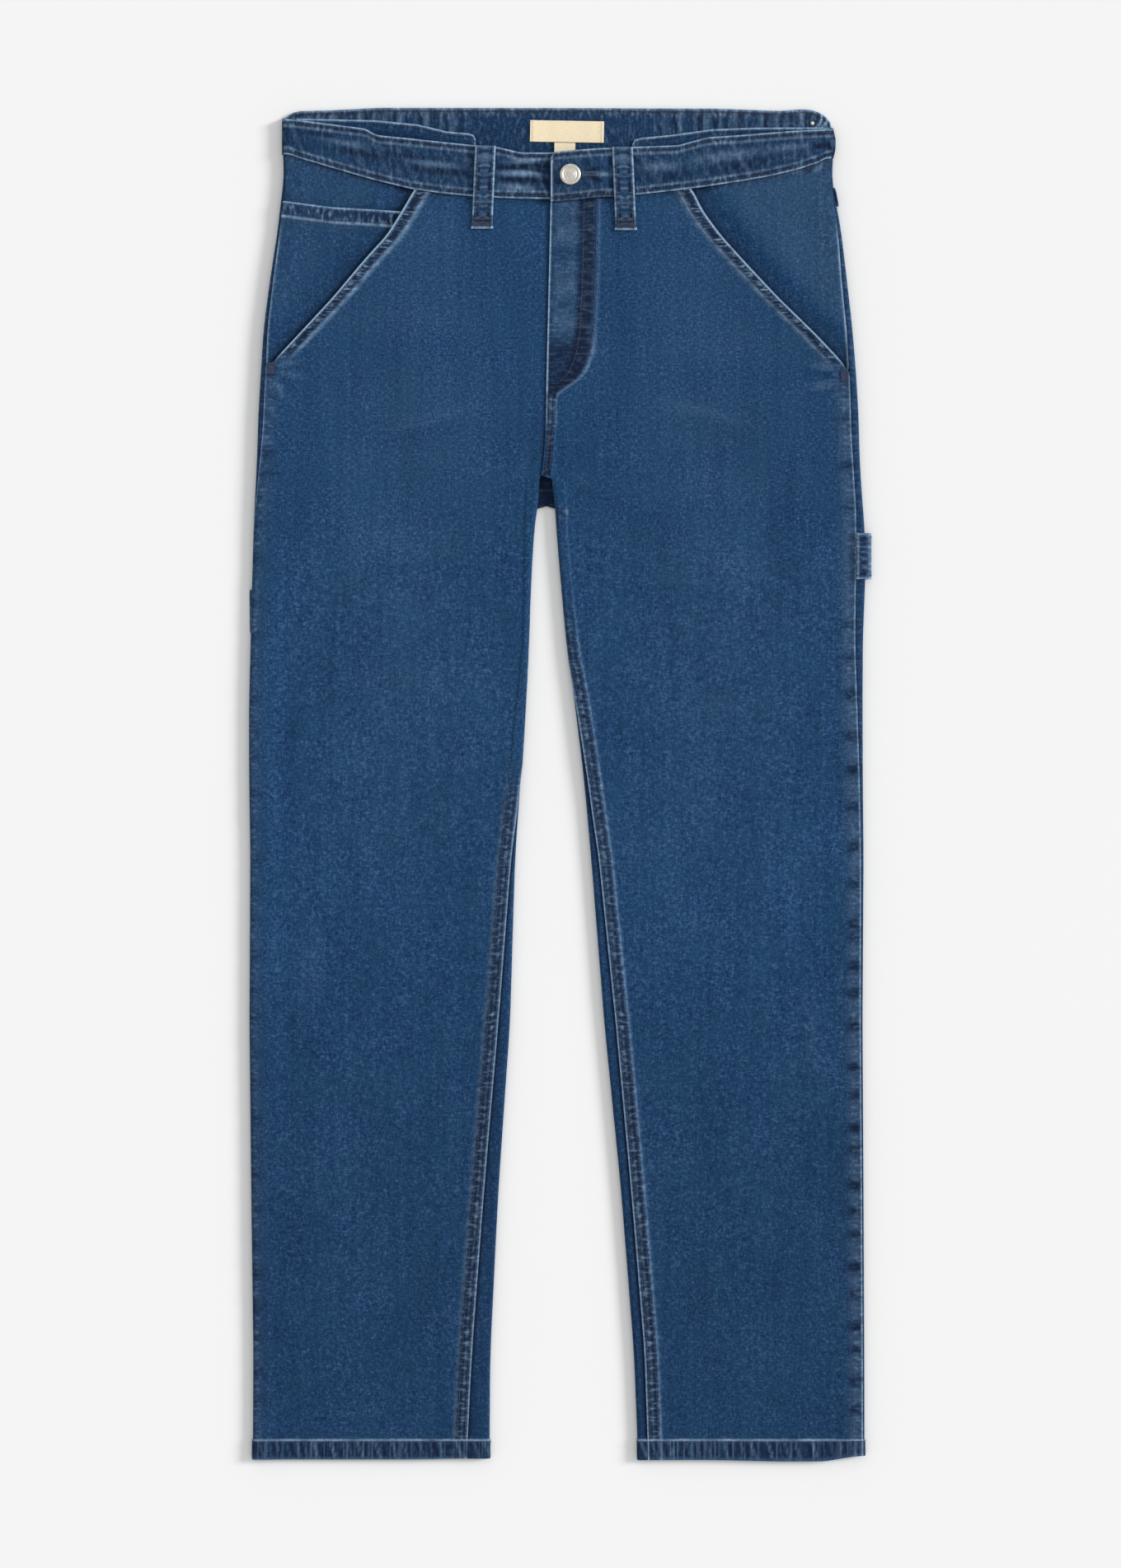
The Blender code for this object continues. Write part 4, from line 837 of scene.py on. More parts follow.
# Rings of one stitch: share of its length from its middle, and share of the thread's size
STITCH_RINGS = ((-0.5, 0.35), (-0.3, 0.9), (0.3, 0.9), (0.5, 0.35))
RING_SIDES = ((1.0, 0.0), (0.5, 0.9), (-0.5, 0.9), (-1.0, 0.0), (0.0, -0.6))


def add_stitches(name, lines, material=None, pitch=STITCH_PITCH, length=STITCH_LENGTH, width=THREAD_WIDTH,
                 turn=0.0):
    """Rows of stitches along lines on the cloth, as one mesh."""
    middles, runs, sides, ups = [], [], [], []
    for places, normals in lines:
        if len(places) < 2:
            continue
        steps = np.linalg.norm(np.diff(places, axis=0), axis=1)
        arc = np.concatenate([[0.0], np.cumsum(steps)])
        count = int(arc[-1] / pitch)
        for k in range(count):
            at = (k + 0.5) * arc[-1] / count
            middle, before, ahead, up = (np.array([np.interp(where, arc, data[:, c]) for c in range(3)])
                                         for where, data in ((at, places), (at - 0.6, places),
                                                             (at + 0.6, places), (at, normals)))
            run = ahead - before
            run /= max(np.linalg.norm(run), 1e-9)
            up = up / max(np.linalg.norm(up), 1e-9)
            side = np.cross(up, run)
            side /= max(np.linalg.norm(side), 1e-9)
            angle = math.radians(turn)
            turned = run * math.cos(angle) + side * math.sin(angle)
            sides.append(side * math.cos(angle) - run * math.sin(angle))
            middles.append(middle)
            runs.append(turned)
            ups.append(up)
    middles, runs, sides, ups = (np.array(values) for values in (middles, runs, sides, ups))
    rings = []
    for part, size in STITCH_RINGS:
        for side_part, up_part in RING_SIDES:
            rings.append(middles + runs * part * length + sides * side_part * 0.5 * width * size
                         + ups * (up_part * THREAD_RISE * size + 0.05))
    points = np.stack(rings, axis=1).reshape(-1, 3)
    around = len(RING_SIDES)
    pattern = []
    for ring in range(len(STITCH_RINGS) - 1):
        for k in range(around):
            after = (k + 1) % around
            low = ring * around
            pattern.append((low + k, low + after, low + around + after, low + around + k))
    faces = []
    each = around * len(STITCH_RINGS)
    for s in range(len(middles)):
        start = s * each
        faces += [tuple(start + v for v in face) for face in pattern]
        faces.append(tuple(start + v for v in reversed(range(around))))
        faces.append(tuple(start + each - around + v for v in range(around)))
    piece = add_mesh(name, points, faces, material or NAVY_THREAD)
    return piece


# Legs

MOUTH_STEPS = np.array([0.0, 0.4, 0.9, 1.5, 2.3, 3.3, 4.5, 5.8, 7.2, 8.6, 9.6, 10.4, 11.1, 11.8, 12.8, 15.0, 17.5,
                        20.0])
LEG_STOPS = [508.0, 494.0, 481.0, 457.0, 416.0, 375.0, 356.0, 348.5, 345.5, 342.5, 339.5, 337.0, 330.0, 324.5,
             321.0, 296.0, 262.0, 256.5, 255.0, 254.3, 253.6, 252.9, 252.0, 250.5, 242.0, 229.5, 227.0, 212.0,
             188.0, -538.9]


def leg_levels(side):
    top = WAIST_LEVEL[side] - 0.4
    body = fill([top] + LEG_STOPS, ROW_STEP)
    hem = fill([-538.9, -539.5, -540.1, -540.7, -541.5, HEM_LOW[side]], HEM_STEP)
    return np.concatenate([body, hem[1:]])


def puckers_at(side, y):
    """Depth of the outseam's puckers at Y."""
    strength = 1.0 if side == LEFT else 0.55
    return strength * sum(pucker.depth * line(y, pucker.y, 4.4) for pucker in OUTSEAM_PUCKERS[side])


def round_end(x, y):
    """The waistband's left end is rounded: how far each place of it moves in."""
    inward = np.interp(y, [508.0, 516.0, 519.0, 523.6, 531.8, 540.0, 542.0, 546.0],
                       [3.9, 2.0, 1.2, 0.2, 0.1, 1.9, 1.4, 0.0])
    return x - inward * smooth_step((x - 211.0) / 12.0)


def broad_waves(x, y):
    """Low, wide unevenness of the laid cloth."""
    return 0.16 * ripple(x + 0.35 * y, 118.0, 1.0) + 0.14 * ripple(y - 0.2 * x, 152.0, 2.3)


def leg_wash_and_shade(side, across, y, edge):
    """Washed lighter on the thighs and darker towards the hems, with painted shade along the rounded outer sides:
    returns the lightening and the darkening.
    """
    thigh = np.exp(-(((across - 128.0) / 72.0) ** 2)) * smooth_step((y + 190.0) / 300.0)
    wear_and_highlight = 0.020 * thigh * (1.0 + 0.5 * ripple(y, 60.0, side))
    # Darker towards the hems, and painted shade over the last 22 mm before the outer fold
    shade = 0.19 * smooth_step((-y - 60.0) / 300.0) + 0.10 * smooth_step((across - edge + 22.0) / 22.0)
    return wear_and_highlight, shade


def front_leg(side):
    """Front panel, from the pocket mouth and the outseam over the top to the fly and the inseam."""
    name = side_name(side)
    grids = {key: [] for key in ("outer", "inner", "from_outer", "from_inner", "width", "seamed") + MARKS}
    levels = leg_levels(side)
    for level in levels:
        section = Section(side, level)
        start = section.outseam + SEAM_GAP / 2.0
        hemmed = level > MOUTH_END[side]
        if hemmed:
            at_mouth = solve_across(side, lambda y: mouth(side, y), lambda x: front_y(side, level, x))
            start = section.quarter + section.edge - section.outer_radius - at_mouth
        centre_y = float(front_y(side, level, CENTRE_BACK))
        centre = Section(side, centre_y)
        end = section.over_flat_end + section.flat_end - centre.flat_end + centre.wrap - SEAM_GAP / 2.0
        width = float(soft_lookup(INNER_LAYERS, "y", name + "_width", centre_y, 3.0))
        raised = float(lookup(INNER_LAYERS, "y", name + "_raise", centre_y))
        inward = np.concatenate([[0.0, 0.4, 0.9, 1.5, 2.2], 2.2 + (width - 3.0) * np.arange(1, 8) / 8.0,
                                 [width - 0.8, width - 0.2, width + 0.6, width + 1.6, width + 3.2, width + 6.0,
                                  width + 9.0, width + 12.0]])
        low = start + MOUTH_STEPS[-1]
        high = end - inward[-1]
        middle = low + (high - low) * np.arange(1, COLUMN_COUNT + 1) / (COLUMN_COUNT + 1.0)
        arcs = np.concatenate([start + MOUTH_STEPS, middle, (end - inward)[::-1]])
        from_outer = arcs - start
        from_inner = end - arcs
        across, height, out_x, out_z = section.over(arcs)
        if level > CROTCH_OPEN:
            flat = arcs > section.over_flat_end - 1.0
            across = np.where(flat, section.edge - section.outer_radius - (arcs - section.quarter), across)
            height = np.where(flat, section.middle, height)
            out_x = np.where(flat, 0.0, out_x)
            out_z = np.where(flat, 1.0, out_z)
        x = side * across
        y = front_y(side, level, x) + hem_drop(side, across, level)
        on_top = smooth_step((out_z - 0.8) / 0.2)
        creases = folds_at(CREASES, x, y) * on_top
        bend = folds_at(FOLDS, x, y) * on_top + creases + broad_waves(x, y) * on_top
        wear_and_highlight, shade = leg_wash_and_shade(side, across, y, section.edge)
        # Crease ridges lighter, partly abrasion and partly painted highlight; painted shade in their troughs
        wear_and_highlight = wear_and_highlight + (0.10 + 0.18 * smooth_step((y - 300.0) / 20.0)) * np.maximum(creases, 0.0)
        shade = shade + 0.35 * np.maximum(-creases, 0.0)
        mottle = np.zeros(len(arcs))
        along = np.full(len(arcs), level)
        relief = np.zeros(len(arcs))

        # Painted shadow of the waistband on the cloth just below it, deeper beside the pocket mouth
        band_shadow = line(waist_seam(x) - y, 0.0, 3.0)
        near_mouth = line(from_outer, 8.0, 12.0) * (level > 460.0)
        shade = shade + band_shadow * (0.5 + 0.4 * near_mouth) + 0.35 * near_mouth * line(waist_seam(x) - y, 4.0, 8.0)

        # Stitched layers beside the fly, the rise and the inseam
        profile = 1.0 - smooth_step((from_inner - width + 0.8) / 1.4)
        relief = np.maximum(relief, raised * profile)
        seam_start = -2.0 if side == LEFT else -0.6
        inseam = float(smooth_step((section.inner_shown - seam_start) / 2.3)) * (centre_y < CROTCH)
        rise = float(smooth_step((centre_y - CROTCH_OPEN + 2.0) / 3.0)) * (side == LEFT)
        low_rise = rise * float(smooth_step((302.0 - centre_y) / 14.0))
        seamed = max(inseam, rise)
        fly = float(smooth_step((centre_y - 319.0) / 6.0)) * (side == LEFT)
        seam_wear = max(0.75 * inseam, 1.1 * fly, 0.5 * (rise - low_rise)) * (0.95 + 0.2 * ripple(level, 11.0, 4.0))
        wear_and_highlight = wear_and_highlight + seam_wear * line(from_inner, 0.45, 0.75)
        lower = smooth_step((376.0 - centre_y) / 20.0)
        row_band = band(from_inner, width - 15.0, width - 1.0, 1.6)
        whole = band(from_inner, 1.6, width - 1.0, 1.6)
        blotch = 0.5 + 0.5 * ripple(centre_y, 38.0, 2.0)
        stain = np.maximum(ripple(from_inner + 0.6 * centre_y, 27.0, 4.0) * ripple(centre_y, 19.0, 1.0), 0.0)
        shade = shade + fly * (0.76 * row_band * (1.0 - 0.4 * lower) + 0.60 * lower * whole)
        shade = shade + fly * (0.12 + 0.5 * stain) * whole
        shade = shade + 0.16 * fly * band(from_inner, 1.4, 4.0, 1.0)
        mottle = mottle + fly * (0.10 * row_band + 0.22 * whole)
        wear_and_highlight = wear_and_highlight + 0.15 * fly * (1.0 - lower) * band(from_inner, 3.0, width - 16.0, 3.0) * blotch
        spots = np.maximum(ripple(centre_y, 9.0, 2.0), 0.0) * line(from_inner, width - 8.0, 3.2)
        wear_and_highlight = wear_and_highlight + 0.16 * fly * (1.0 - lower) * spots
        wear_and_highlight = wear_and_highlight + fly * (0.10 + 0.22 * lower) * line(from_inner, width + 0.9, 1.3)
        plain = seamed * (1.0 - fly)
        shade = shade + (0.60 + 0.3 * low_rise) * plain * band(from_inner, 1.5, width - 1.2, 1.4)
        mottle = mottle + (0.9 - 0.4 * low_rise) * plain * band(from_inner, 1.2, width - 0.4, 1.2)
        edge_line = line(from_inner, width + 0.2, 1.2) * (0.8 + 0.5 * ripple(level, 9.0, 2.0))
        wear_and_highlight = wear_and_highlight + (0.28 * inseam + 0.14 * (rise - low_rise)) * (1.0 - fly) * edge_line
        mid_line = line(from_inner, 0.46 * width, 1.0) * (0.55 + 0.9 * ripple(level, 6.5, 1.0))
        wear_and_highlight = wear_and_highlight + 0.24 * plain * mid_line * (1.0 - 0.8 * low_rise)
        bump_row = ripple(level, 8.5, 3.0 * side) * band(from_inner, 1.5, width - 1.0, 2.0)
        relief = relief + 0.22 * plain * bump_row
        # Painted shadow beside the fly's edge, along the right panel's inner edge above the crotch
        if side == RIGHT:
            shade = shade + 0.55 * (centre_y > CROTCH_OPEN) * line(from_inner, 0.0, 2.2)
        # Painted shade along the inner edge, between the crotch and where the inseam comes into view
        hidden = (1.0 - seamed) * smooth_step((CROTCH_OPEN - centre_y) / 6.0)
        shade = shade + 0.25 * hidden * line(from_inner, 0.0, 3.0)

        # Pocket mouth hem above, outseam below
        if hemmed:
            fade = float(smooth_step((level - MOUTH_END[side]) / 12.0))
            hem = 1.0 - smooth_step((from_outer - MOUTH_HEM - 0.2) / 1.6)
            relief = np.maximum(relief, RELIEF * fade * hem)
            relief = relief + 0.18 * fade * ripple(level, 5.2, side) * band(from_outer, 1.4, 9.0, 1.6)
            fray = 1.3 + 0.3 * ripple(level, 7.0, 5.0 + side)
            wear_and_highlight = wear_and_highlight + fade * fray * line(from_outer, 0.8, 1.15)
            shade = shade + 0.66 * fade * band(from_outer, 2.4, 9.0, 1.4)
            mottle = mottle + 1.7 * fade * band(from_outer, 2.4, 9.6, 1.4)
            wear_and_highlight = wear_and_highlight + 0.42 * fade * line(from_outer, 11.2, 1.9) * (0.9 + 0.5 * ripple(level, 13.0, 2.0))
            along = np.where(from_outer < 16.0, level * 1.3, along)
        else:
            fade = float(smooth_step((MOUTH_END[side] - level) / 6.0))
            # Dented puckers beside the outseam, with painted shade in the dents
            depth = puckers_at(side, level)
            strip = line(from_outer, 6.0, 5.6)
            dent = strip * depth
            bend = bend - 0.8 * dent * fade
            shade = shade + (0.95 * dent + 0.10 * strip) * fade
            between = 0.12 if side == LEFT else 0.05
            wear_and_highlight = wear_and_highlight + between * strip * (1.0 - min(1.0, 2.0 * depth)) * fade
            edge_wear = 0.85 if side == LEFT else 0.55
            seam_line = line(from_outer, 0.2, 0.8) * (0.8 + 0.35 * ripple(level, 16.0, 2.0 * side))
            wear_and_highlight = wear_and_highlight + edge_wear * fade * seam_line
            mottle = mottle + 0.45 * fade * band(from_outer, 0.8, 8.0, 2.5)
            knot = line(level, MOUTH_END[side] - 5.0, 7.0) * band(from_outer, 0.8, 8.6, 3.0)
            shade = shade + 0.9 * knot
            wear_and_highlight = wear_and_highlight * (1.0 - 0.8 * knot)

        # Hem
        below = HEM_TOP - level
        if below > -4.0:
            hem = smooth_step(below + 0.5) if below < 1.0 else 1.0
            relief = np.maximum(relief, RELIEF * hem * np.ones(len(arcs)))
            rope = ripple(x - 0.35 * below, 7.4, 1.0 + side)
            roped = float(band(below, 1.6, 15.2, 2.0))
            relief = relief + 0.26 * rope * roped
            wear_and_highlight = wear_and_highlight * (1.0 - 0.6 * roped)
            wear_and_highlight = wear_and_highlight + 0.85 * line(below, 0.8, 0.75) * (0.75 + 0.35 * ripple(x, 34.0, side))
            shade = shade + 0.3 * line(below, -1.6, 1.2)
            wear_and_highlight = wear_and_highlight + roped * 0.26 * np.maximum(rope, 0.0) ** 2 + 0.22 * line(below, 16.6, 1.0)
            shade = shade * (1.0 - roped) + roped * (0.66 - 0.22 * rope)
            mottle = mottle * (1.0 - roped) + 0.8 * roped
            if below > 0.8:
                along = x
        relief = relief * np.minimum(1.0, 1.0 + out_z)
        grids["outer"].append(np.stack([x + side * out_x * (relief), y, height + out_z * relief + bend],
                                       axis=-1))
        grids["inner"].append(np.stack([x - side * out_x * CLOTH, y, height - out_z * CLOTH + bend], axis=-1))
        for key, values in (("from_outer", from_outer), ("from_inner", from_inner), ("wear_and_highlight", wear_and_highlight),
                            ("shade", shade), ("mottle", mottle), ("along", along),
                            ("across", np.where(from_inner < from_outer, from_inner, from_outer)),
                            ("width", np.full(len(arcs), width)), ("seamed", np.full(len(arcs), seamed))):
            grids[key].append(values)
    grids = {key: np.array(rows) for key, rows in grids.items()}
    outer, inner = grids["outer"], grids["inner"]
    cloth("front_{}_leg".format(name), outer, inner, grids)
    normals = normals_of(outer, inner)
    width = grids["width"][:, 0]
    lines = []
    above_corner = levels > MOUTH_END[side] + 1.0
    lines.append(line_over_rows(outer, normals, grids["from_outer"], 2.2, above_corner))
    lines.append(line_over_rows(outer, normals, grids["from_outer"], 8.8, above_corner))
    centre_levels = np.array([float(front_y(side, level, CENTRE_BACK)) for level in levels])
    seam_rows = (grids["seamed"][:, 0] > 0.6) & (levels < 200.0) & (levels > HEM_TOP)
    lines.append(line_over_rows(outer, normals, grids["from_inner"], 2.6, seam_rows))
    lines.append(line_over_rows(outer, normals, grids["from_inner"], width - 2.4, seam_rows))
    if side == LEFT:
        rise_rows = (centre_levels < 321.0) & (centre_levels > 257.0)
        lines.append(line_over_rows(outer, normals, grids["from_inner"], 2.6, rise_rows))
        lines.append(line_over_rows(outer, normals, grids["from_inner"], width - 2.4, rise_rows))
        fly_rows = centre_levels > 322.0
        lines.append(line_over_rows(outer, normals, grids["from_inner"], width - 2.0, fly_rows))
        lines.append(line_over_rows(outer, normals, grids["from_inner"], width - 12.6, fly_rows & (width > 17.0)))
    hem_depth = np.broadcast_to((HEM_TOP - levels)[:, None], outer.shape[:2])
    lines.append(line_over_columns(outer, normals, hem_depth, 2.2))
    add_stitches("stitches_front_{}_leg".format(name), lines)
    corner_y = MOUTH_END[side] - 1.0
    corner = grids["from_outer"][np.searchsorted(-levels, -corner_y)]
    tacks = [line_over_columns(outer, normals, hem_depth, HEM_TOP - level, (corner > 0.6) & (corner < 8.2))
             for level in (corner_y, corner_y - 2.3, corner_y - 4.6, corner_y - 6.9)]
    add_stitches("tack_pocket_{}".format(name), tacks, pitch=0.75, length=2.9, width=0.8, turn=62.0)


def back_leg(side):
    """Back panel: round the outer fold, flat on the surface, and up round the inner fold."""
    name = side_name(side)
    keys = ("outer", "inner", "wear_and_highlight", "shade", "mottle", "along", "across")
    grids = {key: [] for key in keys}
    levels = leg_levels(side)
    for level in levels:
        section = Section(side, level)
        start = -section.outseam + SEAM_GAP / 2.0
        flat = section.quarter + section.edge - section.outer_radius
        if level > CROTCH:
            end = flat - side * CENTRE_BACK - 0.01
            inner_start = end - 24.0
        else:
            end = section.under_end - SEAM_GAP / 2.0
            inner_start = section.under_flat_end - 10.0
        turned = start + (8.0 + section.quarter - start) * np.linspace(0.0, 1.0, 15)
        arcs = np.concatenate([turned, np.linspace(turned[-1], inner_start, 34)[1:],
                               inner_start + (end - inner_start) * np.linspace(0.0, 1.0, 22)[1:]])
        across, height, out_x, out_z = section.under(arcs)
        if level > CROTCH:
            beyond = arcs > section.under_flat_end - 1.0
            across = np.where(beyond, flat - arcs, across)
            height = np.where(beyond, 0.0, height)
            out_x = np.where(beyond, 0.0, out_x)
            out_z = np.where(beyond, -1.0, out_z)
        x = side * across
        y = back_y(side, level, across) + hem_drop(side, across, level)
        if level > CROTCH:
            y = y + 0.17 * (x - CENTRE_BACK) * line(x, CENTRE_BACK, 12.0) * smooth_step((244.0 - level) / 14.0)
        on_top = smooth_step((out_z - 0.8) / 0.2)
        under = smooth_step((-out_z - 0.9) / 0.1)
        folds = np.maximum(folds_at(CREASES, x, y - 40.0), 0.0)
        bend = broad_waves(x, y) * on_top + 0.8 * folds * under
        wear_and_highlight, shade = leg_wash_and_shade(side, across, y, section.edge)
        from_outer = arcs - start
        from_inner = end - arcs
        mottle = np.zeros(len(arcs))
        along = np.full(len(arcs), level)
        relief = np.zeros(len(arcs))
        # Painted shadow beside the outseam, and painted shade in its pucker dents
        depth = puckers_at(side, level)
        shade = shade + 0.16 + 0.4 * line(from_outer, 0.0, 1.2) + 0.5 * depth * line(from_outer, 3.0, 3.0)
        mottle = mottle + 0.3 * band(from_outer, 0.0, 5.0, 2.0)
        # Painted shadow beside the inseam below the crotch; above it, painted shade on the back cloth seen where the
        # front panels part
        if level < CROTCH:
            shade = shade + 0.85 * line(from_inner, 0.0, 1.7)
        else:
            crotch_shade = line(x, CENTRE_BACK, 20.0) * smooth_step((300.0 - level) / 30.0)
            shade = shade + crotch_shade * (0.85 + 0.4 * smooth_step((238.0 - level) / 8.0))
            wear_and_highlight = wear_and_highlight * (1.0 - crotch_shade)
            mottle = mottle + 0.25 * crotch_shade
        below = HEM_TOP - level
        if below > -4.0:
            hem = smooth_step(below + 0.5) if below < 1.0 else 1.0
            relief = np.maximum(relief, RELIEF * hem)
            rope = ripple(x - 0.35 * below, 7.4, 1.0 + side)
            roped = float(band(below, 1.6, 15.2, 2.0))
            relief = relief + 0.26 * rope * roped
            wear_and_highlight = wear_and_highlight + 0.8 * line(below, 0.8, 0.75) + roped * 0.26 * np.maximum(rope, 0.0) ** 2
            shade = shade * (1.0 - roped) + roped * (0.66 - 0.22 * rope)
            mottle = mottle + 0.8 * roped
            if below > 0.8:
                along = x
        relief = relief * np.clip(1.0 + out_z, 0.0, 1.0)
        grids["outer"].append(np.stack([x + side * out_x * relief, y, height + out_z * relief + bend], axis=-1))
        grids["inner"].append(np.stack([x - side * out_x * CLOTH, y, height - out_z * CLOTH + bend], axis=-1))
        for key, values in (("wear_and_highlight", wear_and_highlight), ("shade", shade), ("mottle", mottle), ("along", along),
                            ("across", np.minimum(from_inner, from_outer))):
            grids[key].append(values)
    grids = {key: np.array(rows) for key, rows in grids.items()}
    outer, inner = grids["outer"], grids["inner"]
    cloth("back_{}_leg".format(name), outer, inner, grids)
    normals = normals_of(outer, inner)
    hem_depth = np.broadcast_to((HEM_TOP - levels)[:, None], outer.shape[:2])
    add_stitches("stitches_back_{}_leg".format(name), [line_over_columns(outer, normals, hem_depth, 2.2)])


# Pockets

COIN_TOP = [(-246.0, 481.0), (-226.3, 480.4), (-187.7, 475.5), (-130.7, 472.3), (-100.0, 470.6)]
COIN_LAYER = 1.5
COIN_HEM = 13.0
MOUTH_DEPTH = 1.6
FACING_RAMP = 16.0


def coin_top(x):
    return np.interp(x, [place[0] for place in COIN_TOP], [place[1] for place in COIN_TOP])


def mouth_depth(side, across, y):
    """Depth of the layer behind the mouth: under the front panel, and up to flush beside it."""
    clear = (across - mouth(side, y)) * 0.77
    return (MOUTH_DEPTH + 0.1) * (1.0 - smooth_step((clear - 4.0) / FACING_RAMP))


def facing_grid(side, rows, depth_of, inner_line, columns, proud_of=None):
    """Grid of a piece behind the pocket mouth, from the outseam to under the front panel."""
    outer, inner, clear, from_seam = [], [], [], []
    for row_y in rows:
        edge_y = float(row_y(side * 240.0))
        section = Section(side, edge_y)
        start = section.outseam + SEAM_GAP / 2.0
        if edge_y < MOUTH_END[side]:
            start = max(start, section.quarter) + 1.0
        end = section.quarter + section.edge - section.outer_radius - solve_across(side, inner_line, row_y)
        across, height, out_x, out_z = section.over(start + (end - start) * columns)
        x = side * across
        y = row_y(x)
        depth = depth_of(across, y)
        on_top = smooth_step((out_z - 0.8) / 0.2)
        bend = 0.25 * ripple(y + 0.4 * x, 46.0, side) * on_top * smooth_step((depth - 0.4) / -0.4)
        proud = 0.0 if proud_of is None else proud_of(across, y)
        outer.append(np.stack([x - side * out_x * depth, y, height - out_z * depth + bend + proud], axis=-1))
        thick = depth + CLOTH - 0.1
        inner.append(np.stack([x - side * out_x * thick, y, height - out_z * thick + bend], axis=-1))
        clear.append((across - mouth(side, y)) * 0.77)
        from_seam.append((end - start) * columns)
    return np.array(outer), np.array(inner), np.array(clear), np.array(from_seam)


FACING_COLUMNS = fill([0.0, 0.004, 0.008, 0.012, 0.018, 0.026, 1.0], 1.0 / 48.0)
FACING_LOW = 338.0


def facing_marks(side, outer, clear, from_seam):
    """Painted shade behind the mouth, painted shadow under the waistband and painted shade towards the outer fold; the
    rest is washed like the panels.
    """
    x, y = outer[..., 0], outer[..., 1]
    edge = np.array([outer_edge(side, row_y) for row_y in y[:, 0]])[:, None]
    plain = 0.10 if side == RIGHT else 0.0
    shade = plain + 0.55 * line(clear, -0.5, 3.8) + 0.34 * line(clear, 0.0, 12.0)
    # Painted shade towards the outer fold
    shade = shade + 0.10 * smooth_step((np.abs(x) - edge + 22.0) / 22.0)
    waist = waist_seam(x) - y
    # Painted shadow under the waistband
    shade = shade + 0.75 * line(waist, 0.0, 3.2)
    wear_and_highlight = (0.03 if side == RIGHT else 0.06) * smooth_step((clear - 14.0) / 20.0)
    wear_and_highlight = wear_and_highlight + 0.9 * line(from_seam, 0.4, 0.9) * smooth_step((470.0 - y) / 30.0)
    if side == LEFT:
        under_seam = y - (508.6 - 0.002 * (224.0 - x) ** 2 - 0.10 * (224.0 - x))
        shown = smooth_step((x - 184.0) / 14.0)
        shade = shade + 0.7 * shown * line(under_seam, -0.4, 1.0) + 0.3 * shown * line(under_seam, 3.4, 1.8)
        wear_and_highlight = wear_and_highlight + 0.5 * shown * line(under_seam, 1.2, 0.7)
    return {"wear_and_highlight": wear_and_highlight, "shade": shade, "mottle": 0.3 * line(waist, 3.0, 4.0), "along": x, "across": waist}


def pocket_facing(side):
    """Side panel that shows inside the slant pocket mouth."""

    def depth_of(across, y):
        depth = mouth_depth(side, across, y)
        if side == RIGHT:
            depth = depth + COIN_LAYER * (1.0 - smooth_step((y - coin_top(-across) - 0.6) / 5.0))
        return depth

    def row(low, high, part):
        return lambda x: low(x) + (high(x) - low(x)) * part

    def low_line(x):
        return FACING_LOW + 0.0 * x

    def coin_line(x):
        return coin_top(x) + 0.6

    def waist_line(x):
        return waist_seam(x) - SEAM_GAP - 0.1

    if side == RIGHT:
        rows = [row(coin_line, waist_line, part) for part in fill([1.0, 0.14, 0.0], 0.09)]
        rows += [row(low_line, coin_line, part) for part in fill([1.0, 0.0], 0.03)[1:]]
    else:
        levels = fill([515.7, 332.0], 4.0)
        rows = [lambda x, level=level: front_y(side, level, x) for level in levels]
    outer, inner, clear, from_seam = facing_grid(side, rows, depth_of, lambda y: mouth(side, y) - FACING_UNDER,
                                                 FACING_COLUMNS)
    marks = facing_marks(side, outer, clear, from_seam)
    cloth("pocket_facing_{}".format(side_name(side)), outer, inner, marks)


def coin_pocket():
    """Small pocket on the right facing, with a raised hem along its top."""
    bottom = 343.0

    def row_at(part, drop):
        return lambda x: bottom + (coin_top(x) - drop - bottom) * part

    drops = [0.0, 0.5, 1.0, 1.8, 2.8, 4.0, 5.5, 7.0, 8.5, 10.0, 11.2, 12.2, COIN_HEM, COIN_HEM + 1.2]
    rows = [row_at(1.0, drop) for drop in drops]
    rows += [row_at(part, COIN_HEM + 1.2) for part in fill([1.0, 0.0], 0.036)[1:]]

    def proud_of(across, y):
        drop = coin_top(-across) - y
        hem = band(drop, 0.4, COIN_HEM + 0.5, 1.0) * smooth_step((across - mouth(RIGHT, y) - 4.0) / 8.0)
        return 0.35 * hem + 0.1 * hem * ripple(across, 8.0, 2.0)

    outer, inner, clear, from_seam = facing_grid(RIGHT, rows, lambda across, y: mouth_depth(RIGHT, across, y),
                                                 lambda y: mouth(RIGHT, y) - 8.0, FACING_COLUMNS, proud_of)
    marks = facing_marks(RIGHT, outer, clear, from_seam)
    drop = coin_top(outer[..., 0]) - outer[..., 1]
    # Painted shade behind the pocket mouth, as on the facings
    marks["shade"] = 0.08 + 0.55 * line(clear, -0.5, 3.8) + 0.34 * line(clear, 0.0, 12.0)
    marks["shade"] = marks["shade"] + 0.32 * band(drop, 1.8, 11.0, 2.0)
    marks["shade"] = marks["shade"] + 0.4 * line(drop, COIN_HEM + 2.0, 1.6)
    marks["wear_and_highlight"] = marks["wear_and_highlight"] + 1.0 * line(drop, 0.5, 0.8) + 0.75 * line(drop, COIN_HEM - 0.4, 1.0)
    marks["wear_and_highlight"] = marks["wear_and_highlight"] * (0.8 + 0.3 * ripple(outer[..., 0], 23.0, 1.0))
    marks["mottle"] = 1.3 * band(drop, 1.0, COIN_HEM - 0.6, 1.4)
    marks["across"] = drop
    cloth("coin_pocket", outer, inner, marks)
    normals = normals_of(outer, inner)
    shown = clear[0] > 2.0
    add_stitches("stitches_coin_pocket", [line_over_columns(outer, normals, drop, value, shown)
                                          for value in (2.6, 10.6)])


